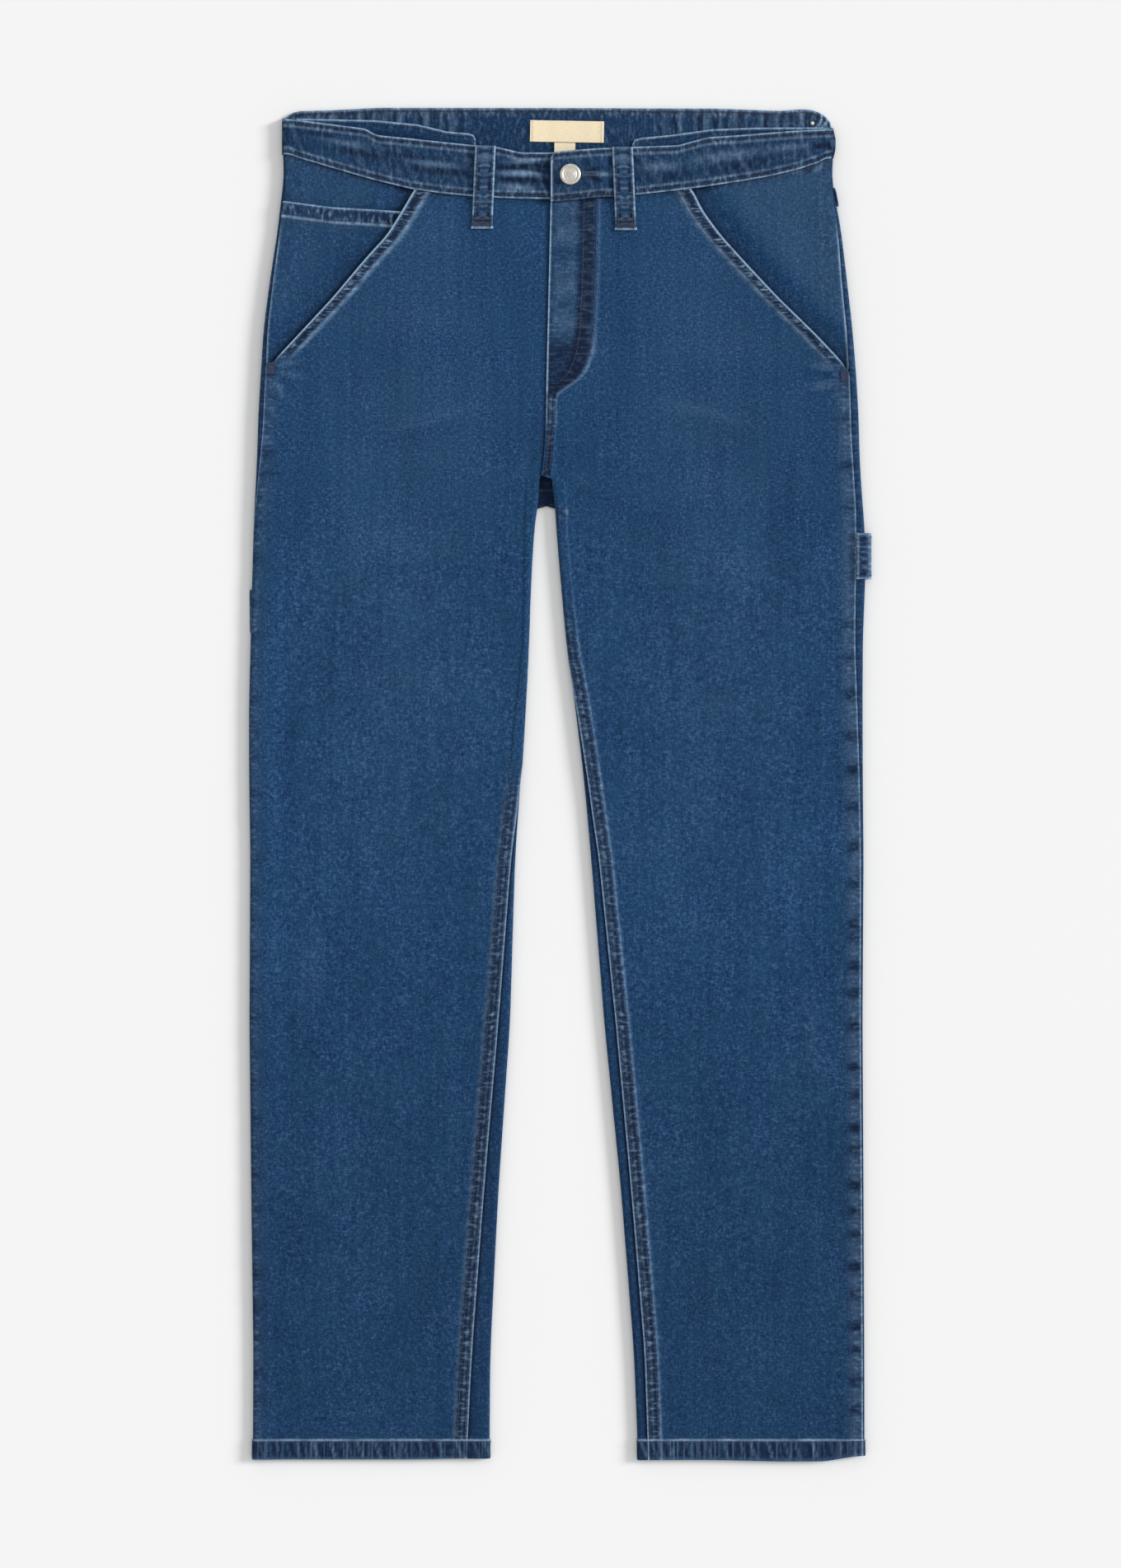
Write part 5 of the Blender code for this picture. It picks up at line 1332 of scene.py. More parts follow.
def tool_pocket():
    """Patch pocket under the back of the right leg; its top corner shows at the edge."""
    ys = fill([160.6, 158.6, 126.0, 118.0, 0.0, -29.0], 4.0)
    outer, inner = [], []
    for y in ys:
        across_outer = np.interp(y, [-29.0, 0.0, 118.0, 126.0, 158.6, 160.6],
                                 [226.0, 250.0, 253.4, 256.2, 256.6, 256.4])
        across_inner = np.interp(y, [-29.0, 0.0], [165.0, 141.0])
        across = across_outer + (across_inner - across_outer) * np.linspace(0.0, 1.0, 30) ** 1.3
        outer.append(np.stack([-across, np.full(30, y), np.full(30, CLOTH - 0.05)], axis=-1))
        inner.append(np.stack([-across, np.full(30, y), np.zeros(30)], axis=-1))
    outer, inner = np.array(outer), np.array(inner)
    from_edge = np.abs(outer[..., 0] - outer[:, :1, 0])
    top = 160.6 - outer[..., 1]
    marks = {"wear_and_highlight": 0.5 * line(from_edge, 0.0, 0.8) + 0.6 * line(top, 0.3, 0.9),
             "shade": 0.3 + 0.4 * band(top, 1.5, 12.0, 2.0), "mottle": 0.5, "along": outer[..., 1],
             "across": from_edge}
    cloth("tool_pocket", outer, inner, marks)


# Waistband

def band_lap(x):
    """Rise of the left waistband where it laps over the right one."""
    over = BAND_THICKNESS + BAND_EDGE + LAY_GAP
    return over * (1.0 - smooth_step((x - LAP_UNDER - 2.0) / (LAP_RAMP - LAP_UNDER)))


def band_marks(x, low, high, ends=()):
    """Worn edges, stitched zones along both edges and a mottled middle, with drag wrinkles drawn as painted highlight
    and painted shade.
    """
    beside_button = smooth_step((x + 9.0) / 3.0) * (1.0 - smooth_step((x - 56.0) / 14.0))
    wear_and_highlight = 1.1 * line(high, 0.5, 0.7) * (0.85 + 0.35 * ripple(x, 21.0, 1.0))
    wear_and_highlight = wear_and_highlight + 1.1 * line(low, 0.5, 0.6) * (0.8 + 0.4 * ripple(x, 17.0, 3.0)) * (1.0 - 0.75 * beside_button)
    wear_and_highlight = wear_and_highlight + 0.34 * line(low, 5.6, 1.0) * (0.8 + 0.5 * ripple(x, 13.0, 2.0)) + 0.3 * line(high, 5.4, 1.0)
    # Drag wrinkles exist only in the colour: painted highlight on their ridges, painted shade in their troughs
    drag = ripple(x + 0.55 * low, 10.5, 1.0) * (0.6 + 0.6 * ripple(x, 74.0, 2.0)) * band(low, 5.0, 40.0, 6.0)
    wear_and_highlight = wear_and_highlight + 0.12 * np.maximum(drag, 0.0)
    shade = 0.35 + 0.42 * band(low, 1.8, 4.6, 1.2) + 0.40 * band(high, 1.8, 4.6, 1.2)
    shade = shade + 0.32 * np.maximum(-drag, 0.0) + 0.4 * beside_button * (1.0 - smooth_step((low - 4.0) / 5.0))
    mottle = 0.5 * band(low, 1.0, 7.0, 2.0) + 0.5 * band(high, 1.0, 7.0, 2.0) + 0.38
    for distance in ends:
        wear_and_highlight = wear_and_highlight + 1.1 * line(distance, 0.5, 0.8)
        shade = shade + 0.4 * band(distance, 1.8, 4.6, 1.0)
    return {"wear_and_highlight": wear_and_highlight, "shade": shade, "mottle": mottle, "along": x, "across": np.minimum(low, high)}


EDGE_INSETS = np.array([0.0, 0.4, 0.9, 1.5, 2.3, 3.3, 4.4, 5.6, 7.5])
BAND_ENDS = {RIGHT: -229.6, LEFT: 226.9}


def waistband_front(side):
    """Front waistband of one side, from the side fold to the button."""
    if side == RIGHT:
        stations = fill([-227.8, -226.4, -225.0, -223.0, -152.0, LAP_UNDER], 2.4)
    else:
        stations = fill([LAP_END, LAP_END + 0.5, LAP_END + 1.4, LAP_END + 2.6, LAP_END + 5.0, 223.4, 225.0], 2.4)
    rise = band_lap(stations) if side == LEFT else np.zeros(len(stations))
    bottom = waist_seam(stations) - 0.5 * smooth_step((np.abs(stations) - 204.0) / 10.0)
    top = waist_top(stations)
    if side == LEFT:
        top = top - 4.6 * (1.0 - smooth_step((stations - LAP_END) / 4.2)) ** 2
        bottom = bottom - 2.4 * (1.0 - smooth_step((stations - LAP_END) / 46.0))
    radius = BAND_HEIGHT / 2.0
    out_x = np.clip((np.abs(stations) - abs(BAND_ENDS[side]) + radius) / radius, 0.0, 1.0)
    out_z = np.sqrt(1.0 - out_x * out_x)
    height = np.where(out_x > 0.0, radius + radius * out_z, BAND_HEIGHT + rise)
    parts = np.linspace(0.0, 1.0, 18)[1:-1]
    outer, inner, lows, highs = [], [], [], []
    for x, low_y, high_y, normal_x, normal_z, z in zip(stations, bottom, top, out_x, out_z, height):
        middle = EDGE_INSETS[-1] + (high_y - low_y - 2.0 * EDGE_INSETS[-1]) * parts
        low = np.concatenate([EDGE_INSETS, middle, (high_y - low_y) - EDGE_INSETS[::-1]])
        high = high_y - low_y - low
        from_edge = np.minimum(low, high)
        proud = np.interp(from_edge, [0.0, 0.6, 1.6, 3.4, 5.2], [0.05, 0.34, BAND_EDGE, 0.22, 0.0])
        pucker = 0.2 * ripple(x, 7.6, 2.0) * line(low, 3.4, 2.0) + 0.15 * ripple(x, 9.0, 4.0) * line(high, 3.4, 2.2)
        y = low_y + low
        crease = folds_at(CREASES, np.full(len(y), x), y) * normal_z ** 4
        wave = 0.22 * ripple(x + 0.5 * y, 58.0, 3.0) * band(from_edge, 3.0, 90.0, 4.0) * normal_z ** 4
        relief = proud + pucker
        ones = np.ones(len(y))
        outer.append(np.stack([x * ones + side * normal_x * relief, y, z + normal_z * relief + crease + wave],
                              axis=-1))
        inner.append(np.stack([(x - side * normal_x * BAND_THICKNESS) * ones, y,
                               (z - normal_z * BAND_THICKNESS) * ones], axis=-1))
        lows.append(low)
        highs.append(high)
    outer, inner, low, high = (np.array(values) for values in (outer, inner, lows, highs))
    outer[..., 0] = round_end(outer[..., 0], outer[..., 1])
    inner[..., 0] = round_end(inner[..., 0], inner[..., 1])
    ends = (outer[..., 0] - LAP_END,) if side == LEFT else ()
    marks = band_marks(outer[..., 0], low, high, ends)
    # Crease ridges lighter, partly abrasion and partly painted highlight; painted shade in their troughs
    crease = folds_at(CREASES, outer[..., 0], outer[..., 1])
    marks["wear_and_highlight"] = marks["wear_and_highlight"] + 0.9 * np.maximum(crease, 0.0)
    marks["shade"] = marks["shade"] + 2.2 * np.maximum(-crease, 0.0)
    # Painted shade towards the rounded side fold
    edge = BAND_ENDS[side]
    marks["shade"] = marks["shade"] + 0.2 * smooth_step((np.abs(outer[..., 0]) - abs(edge) + 16.0) / 16.0)
    # Painted shadow under the left band's lap
    if side == RIGHT:
        marks["shade"] = marks["shade"] + 0.5 * smooth_step((outer[..., 0] + 14.0) / 6.0)
    name = "waistband_front_{}".format(side_name(side))
    cloth(name, outer, inner, marks)
    normals = normals_of(outer, inner)
    lines = [line_over_rows(outer, normals, low, 2.6), line_over_rows(outer, normals, high, 2.6)]
    if side == LEFT:
        inside = (low[0] > 2.0) & (high[0] > 4.0)
        lines.append(line_over_columns(outer, normals, outer[..., 0], LAP_END + 2.6, inside))
    add_stitches("stitches_" + name, lines)


def waistband_back():
    """Back waistband: flat on the surface, round both side folds up to the front waistband."""
    radius = BAND_HEIGHT / 2.0
    places = []
    for edge, direction in ((BAND_ENDS[RIGHT], RIGHT), (BAND_ENDS[LEFT], LEFT)):
        fold = []
        for degrees in np.linspace(57.0, -90.0, 16):
            angle = math.radians(degrees)
            out_x, out_z = direction * math.cos(angle), math.sin(angle)
            fold.append((edge - direction * radius + radius * out_x, radius + radius * out_z, out_x, out_z))
        places.append(fold)
    stations = np.concatenate([fill([BAND_ENDS[RIGHT] + radius, 210.0], 2.6)[1:],
                               fill([210.0, BAND_ENDS[LEFT] - radius], 0.7)[1:-1]])
    flat = [(x, 0.0, 0.0, -1.0) for x in stations]
    places = places[0] + flat + places[1][::-1]
    outer, inner, wears, shades = [], [], [], []
    parts = np.concatenate([[0.0, 0.012, 0.03, 0.06, 0.1], np.linspace(0.16, 0.84, 12), [0.9, 0.94, 0.97, 0.988, 1.0]])
    for x, z, out_x, out_z in places:
        part = (x + 229.0) / 456.0
        low_y = WAIST_LEVEL[RIGHT] * (1.0 - part) + WAIST_LEVEL[LEFT] * part
        if z > 0.3:
            top = np.interp(z, [0.3, 1.1, 3.3, 5.1, 6.6],
                            [549.6, 549.6, 548.2, 547.8, 547.6] if x < 0.0 else [541.8, 541.6, 540.6, 540.2, 540.0])
            flat_top = lookup(BACK_TOP, "x", "top", x)
            top = min(max(top, flat_top), top + 6.0 * max(0.0, 1.1 - z)) if z < 1.1 else top
        else:
            top = soft_lookup(BACK_TOP, "x", "top", x, 2.0)
        y = low_y + (top - low_y) * parts
        down = top - y
        gather = smooth_step((abs(x) - 70.0) / 20.0) * (1.0 - smooth_step((abs(x) - 205.0) / 12.0))
        pleat = ripple(x, 11.0, 1.5) * gather * band(down, 2.0, 30.0, 6.0)
        pucker = ripple(x, 7.5, 0.5) * band(down, 1.5, 6.0, 2.0)
        inner_drop = 0.16 + 0.24 * pleat + 0.14 * pucker
        wall = BAND_THICKNESS - np.clip(inner_drop, 0.0, 0.9) * (1.0 if z < 0.3 else 0.0)
        ones = np.ones(len(y))
        outer.append(np.stack([x * ones, y, z * ones], axis=-1))
        inner.append(np.stack([x - out_x * wall, y, z - out_z * wall], axis=-1))
        # Painted shade on the turned-up side folds, in the gaps between the curled layers near the left end, and in
        # the troughs of the gathers and puckers; painted highlight on the gathers' ridges
        turned = 0.06 * (y - 550.0) ** 2
        curl = line(x, 215.4 - turned, 0.8) + line(x, 220.2 - turned, 1.1)
        gap_shade = line(x, 212.4 - turned, 1.6) + line(x, 217.8 - turned, 1.0)
        fold_shade = 0.45 if z > 0.3 else 0.0
        wears.append(0.75 * line(down, 0.5, 0.9) * (0.8 + 0.4 * ripple(x, 19.0, 2.0)) * (1.0 - fold_shade)
                     + 0.2 * line(down, 5.0, 1.0) + 0.3 * np.maximum(pleat, 0.0) + 1.1 * curl)
        shades.append(0.36 + 0.45 * band(down, 1.6, 4.2, 1.2) + 0.6 * np.maximum(-pleat, 0.0)
                      + 0.35 * np.maximum(-pucker, 0.0) + 0.6 * gap_shade + fold_shade)
    outer, inner = np.array(outer), np.array(inner)
    outer[..., 0] = round_end(outer[..., 0], outer[..., 1])
    inner[..., 0] = round_end(inner[..., 0], inner[..., 1])
    down = outer[:, -1:, 1] - outer[..., 1]
    marks = {"wear_and_highlight": np.array(wears), "shade": np.array(shades), "mottle": 0.45 + 0.4 * band(down, 1.0, 7.0, 2.0),
             "along": outer[..., 0], "across": down}
    cloth("waistband_back", outer, inner, marks)
    normals = -normals_of(outer, inner)
    shown = np.abs(outer[:, 0, 0]) < 222.0
    add_stitches("stitches_waistband_back", [line_over_rows(inner, normals, down, 2.8, shown)])


FACING_TOPS = {
    RIGHT: [(-217.6, 548.8), (-188.0, 548.2), (-153.0, 547.4), (-118.0, 544.0), (-93.8, 538.2),
            (-76.0, 536.6), (-72.0, 535.4), (-70.0, 531.6)],
    LEFT: [(59.4, 527.6), (61.4, 531.4), (66.0, 532.8), (90.4, 535.2), (125.0, 540.0), (160.0, 541.3),
           (212.0, 541.5), (221.6, 541.2)],
}
FACING_TOP_Z = 4.5
FACING_INSET = 7.0


def waistband_facing(side):
    """Inner facing behind the front waistband, which peeks out above it."""
    table = FACING_TOPS[side]
    stations = fill([place[0] for place in table], 2.4)
    tops = np.interp(stations, [place[0] for place in table], [place[1] for place in table])
    outer, inner, downs = [], [], []
    for x, top in zip(stations, tops):
        bottom = float(waist_seam(x)) + FACING_INSET
        down = np.concatenate([[0.0, 0.4, 0.9, 1.5, 2.3, 3.3, 4.5, 6.0, 8.0], np.linspace(10.0, top - bottom, 9)])
        y = top - down
        sunk = 0.35 * smooth_step((down - 8.0) / 6.0)
        wave = 0.10 * ripple(x, 9.5, 2.0 * side) * band(down, 1.0, 8.0, 2.0)
        ones = np.ones(len(y))
        outer.append(np.stack([x * ones, y, FACING_TOP_Z - sunk + wave], axis=-1))
        inner.append(np.stack([x * ones, y, (FACING_TOP_Z - CLOTH) * ones], axis=-1))
        downs.append(down)
    outer, inner, down = np.array(outer), np.array(inner), np.array(downs)
    x = outer[..., 0]
    free_end = np.abs(x - (-70.0 if side == RIGHT else 59.4))
    wear_and_highlight = 1.2 * line(down, 0.5, 0.8) * (0.85 + 0.3 * ripple(x, 15.0, 2.0)) + 1.0 * line(free_end, 0.5, 0.9)
    # Painted shade deepening where the facing goes down under the front waistband
    shade = 0.30 + 0.30 * band(down, 1.5, 4.0, 1.2) + 0.4 * smooth_step((down - 5.0) / 6.0)
    marks = {"wear_and_highlight": wear_and_highlight, "shade": shade, "mottle": 0.5 * band(down, 1.0, 6.0, 2.0), "along": x, "across": down}
    name = "waistband_facing_{}".format(side_name(side))
    cloth(name, outer, inner, marks)
    add_stitches("stitches_" + name, [line_over_rows(outer, normals_of(outer, inner), down, 2.6)])


# Loops

LOOP_WIDTH = 17.0
LOOP_THICKNESS = 1.5
LOOP_PARTS = [0.0, 0.06, 0.25, 0.45, 0.6, 0.68, 0.8, 0.93, 1.0]
LOOP_UNDER = [7.9, 8.5, 9.0, 8.8, 8.3, 7.4, 6.6, 6.45, 6.45]


def belt_loop_front(side, top_x, top_y, low_x, low_y):
    """Belt loop: a folded strap over the front waistband, tacked to the panel below it."""
    parts = fill([0.0, 0.06, 0.93, 1.0], 0.022)
    under = sum(np.interp(parts + step, LOOP_PARTS, LOOP_UNDER) for step in (-0.05, -0.025, 0.0, 0.025, 0.05)) / 5.0
    places = np.array([-1.0, -0.96, -0.9, -0.8, -0.66, -0.5, -0.3, -0.1, 0.1, 0.3, 0.5, 0.66, 0.8, 0.9, 0.96, 1.0])
    outer, inner = [], []
    for part, z in zip(parts, under):
        half = LOOP_WIDTH / 2.0 + 0.7 * float(smooth_step((part - 0.93) / 0.07))
        centre_x = top_x + (low_x - top_x) * part
        y = top_y + (low_y - top_y) * part + 0.3 * np.abs(places) ** 4 * (1.0 if part > 0.98 else 0.0)
        rolled = LOOP_THICKNESS - 0.45 * np.abs(places) ** 8
        edge_ridge = 0.22 * line(np.abs(places), 0.82, 0.1) + 0.08 * ripple(part * 68.0, 7.0, side) * (1.0 - places ** 2)
        tack = 0.2 * float(band(part, 0.86, 0.97, 0.04))
        ones = np.ones(len(places))
        x = centre_x + places * half
        outer.append(np.stack([x, y * ones, z + rolled + edge_ridge - tack * (1.0 - places ** 8)], axis=-1))
        inner.append(np.stack([x, y * ones, z * ones], axis=-1))
    outer, inner = np.array(outer), np.array(inner)
    side_part = np.broadcast_to(places, outer.shape[:2])
    down = np.broadcast_to(parts[:, None], outer.shape[:2])
    length = top_y - low_y
    from_edge = (1.0 - np.abs(side_part)) * LOOP_WIDTH / 2.0
    wear_and_highlight = 1.1 * line(from_edge, 0.5, 0.65) * (0.85 + 0.35 * ripple(down * length, 12.0, side))
    wear_and_highlight = wear_and_highlight + 0.26 * line(from_edge, 6.8, 1.0) * (0.5 + ripple(down * length, 7.0, 1.0))
    wear_and_highlight = wear_and_highlight + 0.8 * line(down * length, 0.5, 0.8) + 0.95 * line(down * length, length - 0.6, 0.9)
    wear_and_highlight = wear_and_highlight + 0.22 * line(down * length, 10.0, 3.0)
    box = band(down, 0.84, 0.975, 0.03)
    shade = 0.26 + 0.55 * band(from_edge, 1.8, 5.4, 1.2) * (1.0 - line(down * length, 10.0, 4.0)) + 0.6 * box
    marks = {"wear_and_highlight": wear_and_highlight * (1.0 - 0.6 * box), "shade": shade, "mottle": 0.95, "along": down * length,
             "across": from_edge}
    name = "belt_loop_front_{}".format(side_name(side))
    cloth(name, outer, inner, marks)
    normals = normals_of(outer, inner)
    lines = [line_over_rows(outer, normals, side_part * LOOP_WIDTH / 2.0, value) for value in (-5.9, 5.9)]
    add_stitches("stitches_" + name, lines)
    tacks = [line_over_columns(outer, normals, down, value, np.abs(places) < 0.97) for value in (0.885, 0.925, 0.955)]
    add_stitches("tack_" + name, tacks, pitch=0.9, length=2.2, width=0.7, turn=68.0)


def belt_loop_side():
    """End of the next loop round, on the wearer's left side fold."""
    ys = fill([491.5, 488.0, 480.0, 476.6], 1.2)
    outer, inner = [], []
    angles = np.radians(np.linspace(-32.0, 32.0, 15))
    for y in ys:
        section = Section(LEFT, float(y))
        proud = np.interp(y, [476.6, 480.0, 488.0, 491.5], [1.9, 1.9, 1.7, 1.2])
        corner = section.edge - section.outer_radius
        out_x, out_z = np.cos(angles), np.sin(angles)
        across = corner + section.outer_radius * out_x
        height = section.edge_lift + section.outer_radius * (1.0 + out_z)
        outer.append(np.stack([across + out_x * proud, np.full(15, y), height + out_z * proud], axis=-1))
        inner.append(np.stack([across + out_x * PATCH_GAP, np.full(15, y), height + out_z * PATCH_GAP], axis=-1))
    outer, inner = np.array(outer), np.array(inner)
    down = 491.5 - outer[..., 1]
    marks = {"wear_and_highlight": 0.3 * line(down, 0.2, 0.8) + 0.6 * line(down, 14.6, 0.8), "shade": 0.45, "mottle": 0.8,
             "along": down, "across": np.broadcast_to(np.degrees(angles) / 5.0, down.shape)}
    cloth("belt_loop_side_left", outer, inner, marks)


HAMMER_PATH = [(243.6, 7.9), (247.6, 8.0), (251.6, 7.2), (254.4, 5.4), (255.8, 3.4), (254.2, 1.7), (252.0, 0.9),
               (248.0, 0.9), (225.0, 0.9), (198.0, 0.9)]


def hammer_loop():
    """Wide strap that comes out of the outseam and goes round under the leg."""
    path = np.array(HAMMER_PATH)
    steps = np.concatenate([[0.0], np.cumsum(np.linalg.norm(np.diff(path, axis=0), axis=1))])
    arcs = np.concatenate([np.linspace(0.0, steps[6], 26), np.linspace(steps[6], steps[-1], 14)[1:]])
    reach = np.minimum(1.2, np.minimum(arcs, steps[-1] - arcs))
    reach = np.where(arcs > steps[6], 0.0, reach)
    middle = sum(np.stack([np.interp(arcs + step * reach, steps, path[:, c]) for c in range(2)], axis=-1)
                 for step in (-1.0, -0.5, 0.0, 0.5, 1.0)) / 5.0
    tangent = np.gradient(middle, axis=0)
    tangent /= np.linalg.norm(tangent, axis=1, keepdims=True)
    normal = np.stack([-tangent[:, 1], tangent[:, 0]], axis=-1)
    outer, inner = [], []
    ys = fill([207.0, 206.2, 205.4, 204.0, 202.0, 174.0, 172.0, 170.4, 169.6, 169.0], 1.8)
    for y in ys:
        half = np.interp(y, [169.0, 170.4, 205.4, 207.0], [0.7, 0.9, 0.9, 0.7])
        ridge = 0.15 * (line(y, 203.4, 1.4) + line(y, 172.6, 1.4)) * (arcs < steps[5])
        outer.append(np.stack([middle[:, 0] + normal[:, 0] * (half + ridge), np.full(len(arcs), y),
                               middle[:, 1] + normal[:, 1] * (half + ridge)], axis=-1))
        inner.append(np.stack([middle[:, 0] - normal[:, 0] * half, np.full(len(arcs), y),
                               middle[:, 1] - normal[:, 1] * half], axis=-1))
    outer, inner = np.array(outer), np.array(inner)
    y = outer[..., 1]
    from_edge = np.minimum(207.0 - y, y - 169.0)
    crown = line(outer[..., 0], 255.4, 2.4)
    wear_and_highlight = 0.5 * line(from_edge, 0.6, 0.9) + 0.3 * crown * (outer[..., 2] > 2.0)
    wear_and_highlight = wear_and_highlight + 0.5 * line(outer[..., 0], 245.0, 0.9) * (outer[..., 2] > 4.0)
    shade = 0.50 + 0.3 * band(from_edge, 1.6, 5.0, 1.2) + 0.4 * line(outer[..., 0], 243.6, 1.0)
    marks = {"wear_and_highlight": wear_and_highlight, "shade": shade, "mottle": 0.9, "along": outer[..., 1], "across": outer[..., 0]}
    cloth("hammer_loop", outer, inner, marks)
    normals = normals_of(outer, inner)
    shown = arcs < steps[6]
    lines = [line_over_columns(outer, normals, y, value, shown) for value in (204.0, 172.0)]
    add_stitches("stitches_hammer_loop", lines)


# Label, button and buttonhole

def label():
    """Woven label inside the back waistband, and its tab; both are bare."""
    tilt = math.radians(-1.0)
    for name, low_x, high_x, low_y, high_y in (("label", -25.0, 35.8, 529.6, 547.2),
                                               ("size_tab", -4.8, 12.4, 508.0, 529.0)):
        ys = np.linspace(low_y, high_y, 14)
        xs = fill([low_x, low_x + 0.6, high_x - 0.6, high_x], 1.6)
        grid_x, grid_y = np.meshgrid(xs, ys)
        turned_x = grid_x * math.cos(tilt) - (grid_y - 538.0) * math.sin(tilt)
        turned_y = 538.0 + grid_x * math.sin(tilt) + (grid_y - 538.0) * math.cos(tilt)
        from_end = np.minimum(grid_x - low_x, high_x - grid_x)
        raised = 0.12 * ripple(grid_x, 24.0, 1.0) * smooth_step(from_end / 6.0)
        if name == "label":
            raised = raised + 0.22 * (1.0 - smooth_step((from_end - 3.6) / 1.0))
        outer = np.stack([turned_x, turned_y, 3.4 + raised], axis=-1)
        inner = np.stack([turned_x, turned_y, np.full(grid_x.shape, 2.7)], axis=-1)
        cloth(name, outer, inner, {}, WOVEN)
        if name == "label":
            normals = normals_of(outer, inner)
            lines = [line_over_rows(outer, normals, grid_x, value) for value in (low_x + 2.0, high_x - 2.0)]
            add_stitches("stitches_label", lines, CREAM_THREAD, pitch=2.2, length=1.7, width=0.5)


# Tack button profile: radius and height above the waistband
BUTTON_RINGS = [(0.0, 0.0), (4.2, 0.0), (4.2, 0.9), (7.6, 0.95), (8.3, 1.15), (8.62, 1.5), (8.66, 1.85), (8.5, 2.25),
                (8.1, 2.6), (7.5, 2.84), (6.9, 2.9), (6.4, 2.8), (6.05, 2.55), (5.8, 2.35), (5.5, 2.3), (5.2, 2.36),
                (4.95, 2.55), (4.6, 2.68), (4.2, 2.7), (3.95, 2.6), (3.7, 2.56), (3.45, 2.62), (3.2, 2.74),
                (2.4, 2.84), (1.2, 2.9), (0.0, 2.92)]
BUTTON_SIDES = 72


def add_turned(name, x, y, base, profile, sides, material):
    """Solid turned from a profile of radii and heights, from its lower middle to its upper one."""
    points, faces = [], []
    for radius, height in profile[1:-1]:
        for k in range(sides):
            angle = 2.0 * math.pi * k / sides
            points.append((x + radius * math.cos(angle), y + radius * math.sin(angle), base + height))
    rings = len(profile) - 2
    for ring in range(rings - 1):
        for k in range(sides):
            after = (k + 1) % sides
            low = ring * sides
            faces.append((low + k, low + after, low + sides + after, low + sides + k))
    points.append((x, y, base + profile[0][1]))
    points.append((x, y, base + profile[-1][1]))
    last = (rings - 1) * sides
    for k in range(sides):
        after = (k + 1) % sides
        faces.append((after, k, len(points) - 2))
        faces.append((last + k, last + after, len(points) - 1))
    return add_mesh(name, points, faces, material)


def waist_button():
    """Metal tack button."""
    base = BAND_HEIGHT + float(band_lap(BUTTON_X)) + LAY_GAP
    piece = add_turned("button_silver", BUTTON_X, BUTTON_Y, base, BUTTON_RINGS, BUTTON_SIDES, METAL)
    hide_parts("waist_button")


# Thread end that shows as a pale dot inside the back waistband
DOT_PLACE = (207.7, 545.1, 2.3)
DOT_RINGS = [(0.0, 0.0), (1.0, 0.0), (1.6, 0.35), (1.5, 0.8), (0.8, 1.15), (0.0, 1.2)]


def pale_dot():
    x, y, base = DOT_PLACE
    add_turned("thread_dot", x, y, base, DOT_RINGS, 20, CREAM_THREAD)


BUTTONHOLE_X = (17.5, 33.5)
BUTTONHOLE_HALF = 1.2


def buttonhole():
    """Worked buttonhole beside the button: dense stitches round a dark slit, with a round end."""
    low_x, high_x = BUTTONHOLE_X
    top = BAND_HEIGHT

    def surface(x):
        return top + float(band_lap(x)) + 0.1

    places = []
    for x in np.linspace(low_x, high_x, 22):
        places.append((x, BUTTON_Y + 0.8 + BUTTONHOLE_HALF, surface(x)))
    for angle in np.radians(np.linspace(80.0, -80.0, 9)):
        x = high_x + 1.9 * math.cos(angle)
        places.append((x, BUTTON_Y + 0.8 + 1.9 * math.sin(angle), surface(x)))
    for x in np.linspace(high_x, low_x, 22):
        places.append((x, BUTTON_Y + 0.8 - BUTTONHOLE_HALF, surface(x)))
    ups = np.tile((0.0, 0.0, 1.0), (len(places), 1))
    add_stitches("buttonhole", [(np.array(places), ups)], SOFT_THREAD, pitch=0.8, length=1.7, width=0.6, turn=90.0)
    slit = []
    for x in np.linspace(low_x, high_x, 12):
        slit.append((x, BUTTON_Y + 0.8, surface(x) + 0.1))
    add_stitches("buttonhole_slit", [(np.array(slit), np.tile((0.0, 0.0, 1.0), (12, 1)))], SOFT_THREAD, pitch=1.5,
                 length=1.3, width=0.4)


# Floor, light and camera

FLOOR_DROP = 0.4
CAMERA_HEIGHT = 3500.0
FRAME_PIXELS = (1360, 1903)
PIXEL_SIZE = 0.68       # one photo pixel on the surface
FRAME_CENTRE_Y = 0.3
SENSOR = 36.0


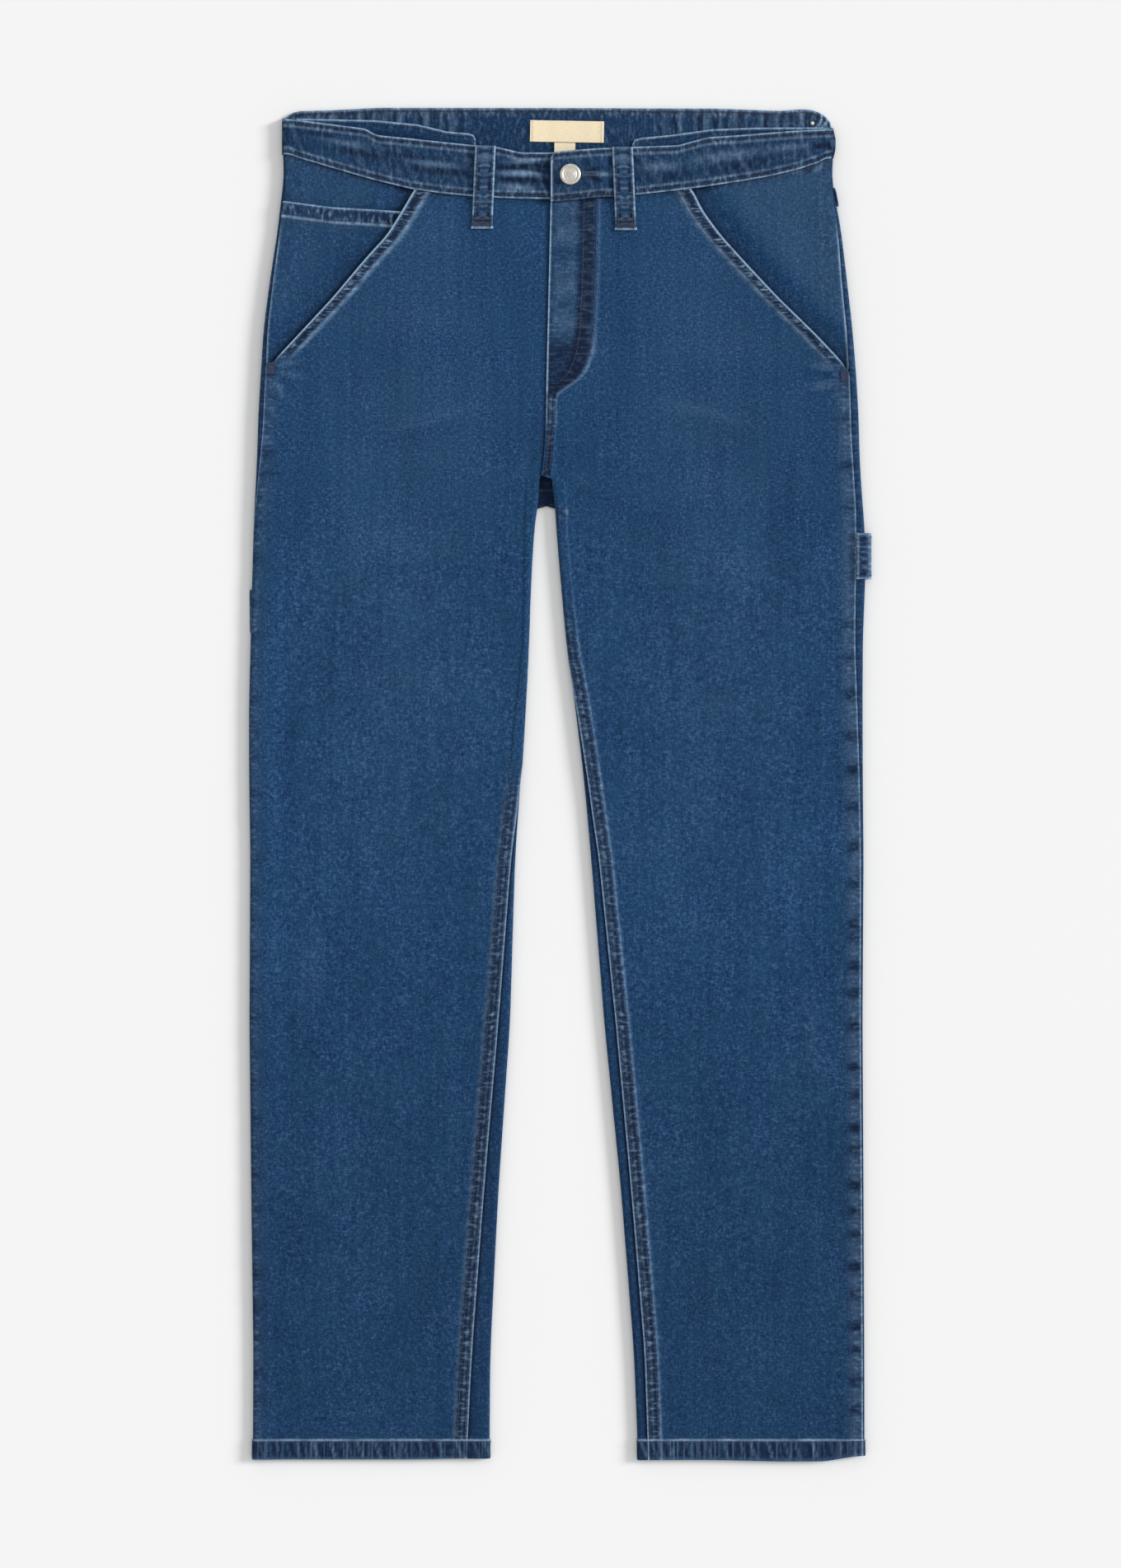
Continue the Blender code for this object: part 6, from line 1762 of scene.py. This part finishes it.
def floor():
    mesh = bpy.data.meshes.new("floor")
    half = 3.0
    z = -FLOOR_DROP * MM
    mesh.from_pydata([(-half, -half, z), (half, -half, z), (half, half, z), (-half, half, z)], [], [(0, 1, 2, 3)])
    made, tree, shader = new_material("floor_pale", 0.95)
    place = tree.nodes.new("ShaderNodeTexCoord").outputs["Object"]
    tone = stretched_noise(tree, place, (3.0, 3.0, 3.0), 1.0)
    tree.links.new(ramp(tree, tone, [(0.3, (0.912, 0.912, 0.911)), (0.7, (0.916, 0.916, 0.915))]),
                   shader.inputs["Base Color"])
    shader.inputs["Specular IOR Level"].default_value = 0.0
    mesh.materials.append(made)
    piece = bpy.data.objects.new("floor", mesh)
    bpy.context.scene.collection.objects.link(piece)


SKY = 0.67              # share of the light that comes evenly from above
KEY_ELEVATION = 24.0
KEY_TURN = 14.0         # from +X towards the waist
KEY_WIDTH = 17.0


def light():
    """Soft studio light: an even sky, and a low wide key from the wearer's left."""
    world = bpy.data.worlds.new("studio")
    world.use_nodes = True
    background = world.node_tree.nodes["Background"]
    background.inputs["Color"].default_value = (1.0, 1.0, 1.0, 1.0)
    background.inputs["Strength"].default_value = SKY
    bpy.context.scene.world = world
    data = bpy.data.lights.new("key", "SUN")
    data.angle = math.radians(KEY_WIDTH)
    data.energy = (1.0 - SKY) * math.pi / math.sin(math.radians(KEY_ELEVATION))
    lamp = bpy.data.objects.new("key", data)
    lamp.rotation_euler = (0.0, math.radians(90.0 - KEY_ELEVATION), math.radians(KEY_TURN))
    bpy.context.scene.collection.objects.link(lamp)
    bpy.context.scene.view_settings.view_transform = "Standard"


def camera():
    data = bpy.data.cameras.new("camera")
    data.sensor_width = SENSOR
    data.lens = SENSOR * CAMERA_HEIGHT / (FRAME_PIXELS[1] * PIXEL_SIZE)
    data.clip_end = 20.0
    made = bpy.data.objects.new("camera", data)
    made.location = (0.0, FRAME_CENTRE_Y * MM, CAMERA_HEIGHT * MM)
    bpy.context.scene.collection.objects.link(made)
    bpy.context.scene.camera = made


def build():
    camera()
    light()
    floor()
    for side in (RIGHT, LEFT):
        front_leg(side)
        back_leg(side)
        pocket_facing(side)
        waistband_front(side)
        waistband_facing(side)
    coin_pocket()
    tool_pocket()
    waistband_back()
    belt_loop_front(RIGHT, -61.7, 525.6, -64.6, 457.6)
    belt_loop_front(LEFT, 51.0, 524.6, 53.9, 456.4)
    belt_loop_side()
    hammer_loop()
    label()
    waist_button()
    buttonhole()
    pale_dot()


build()
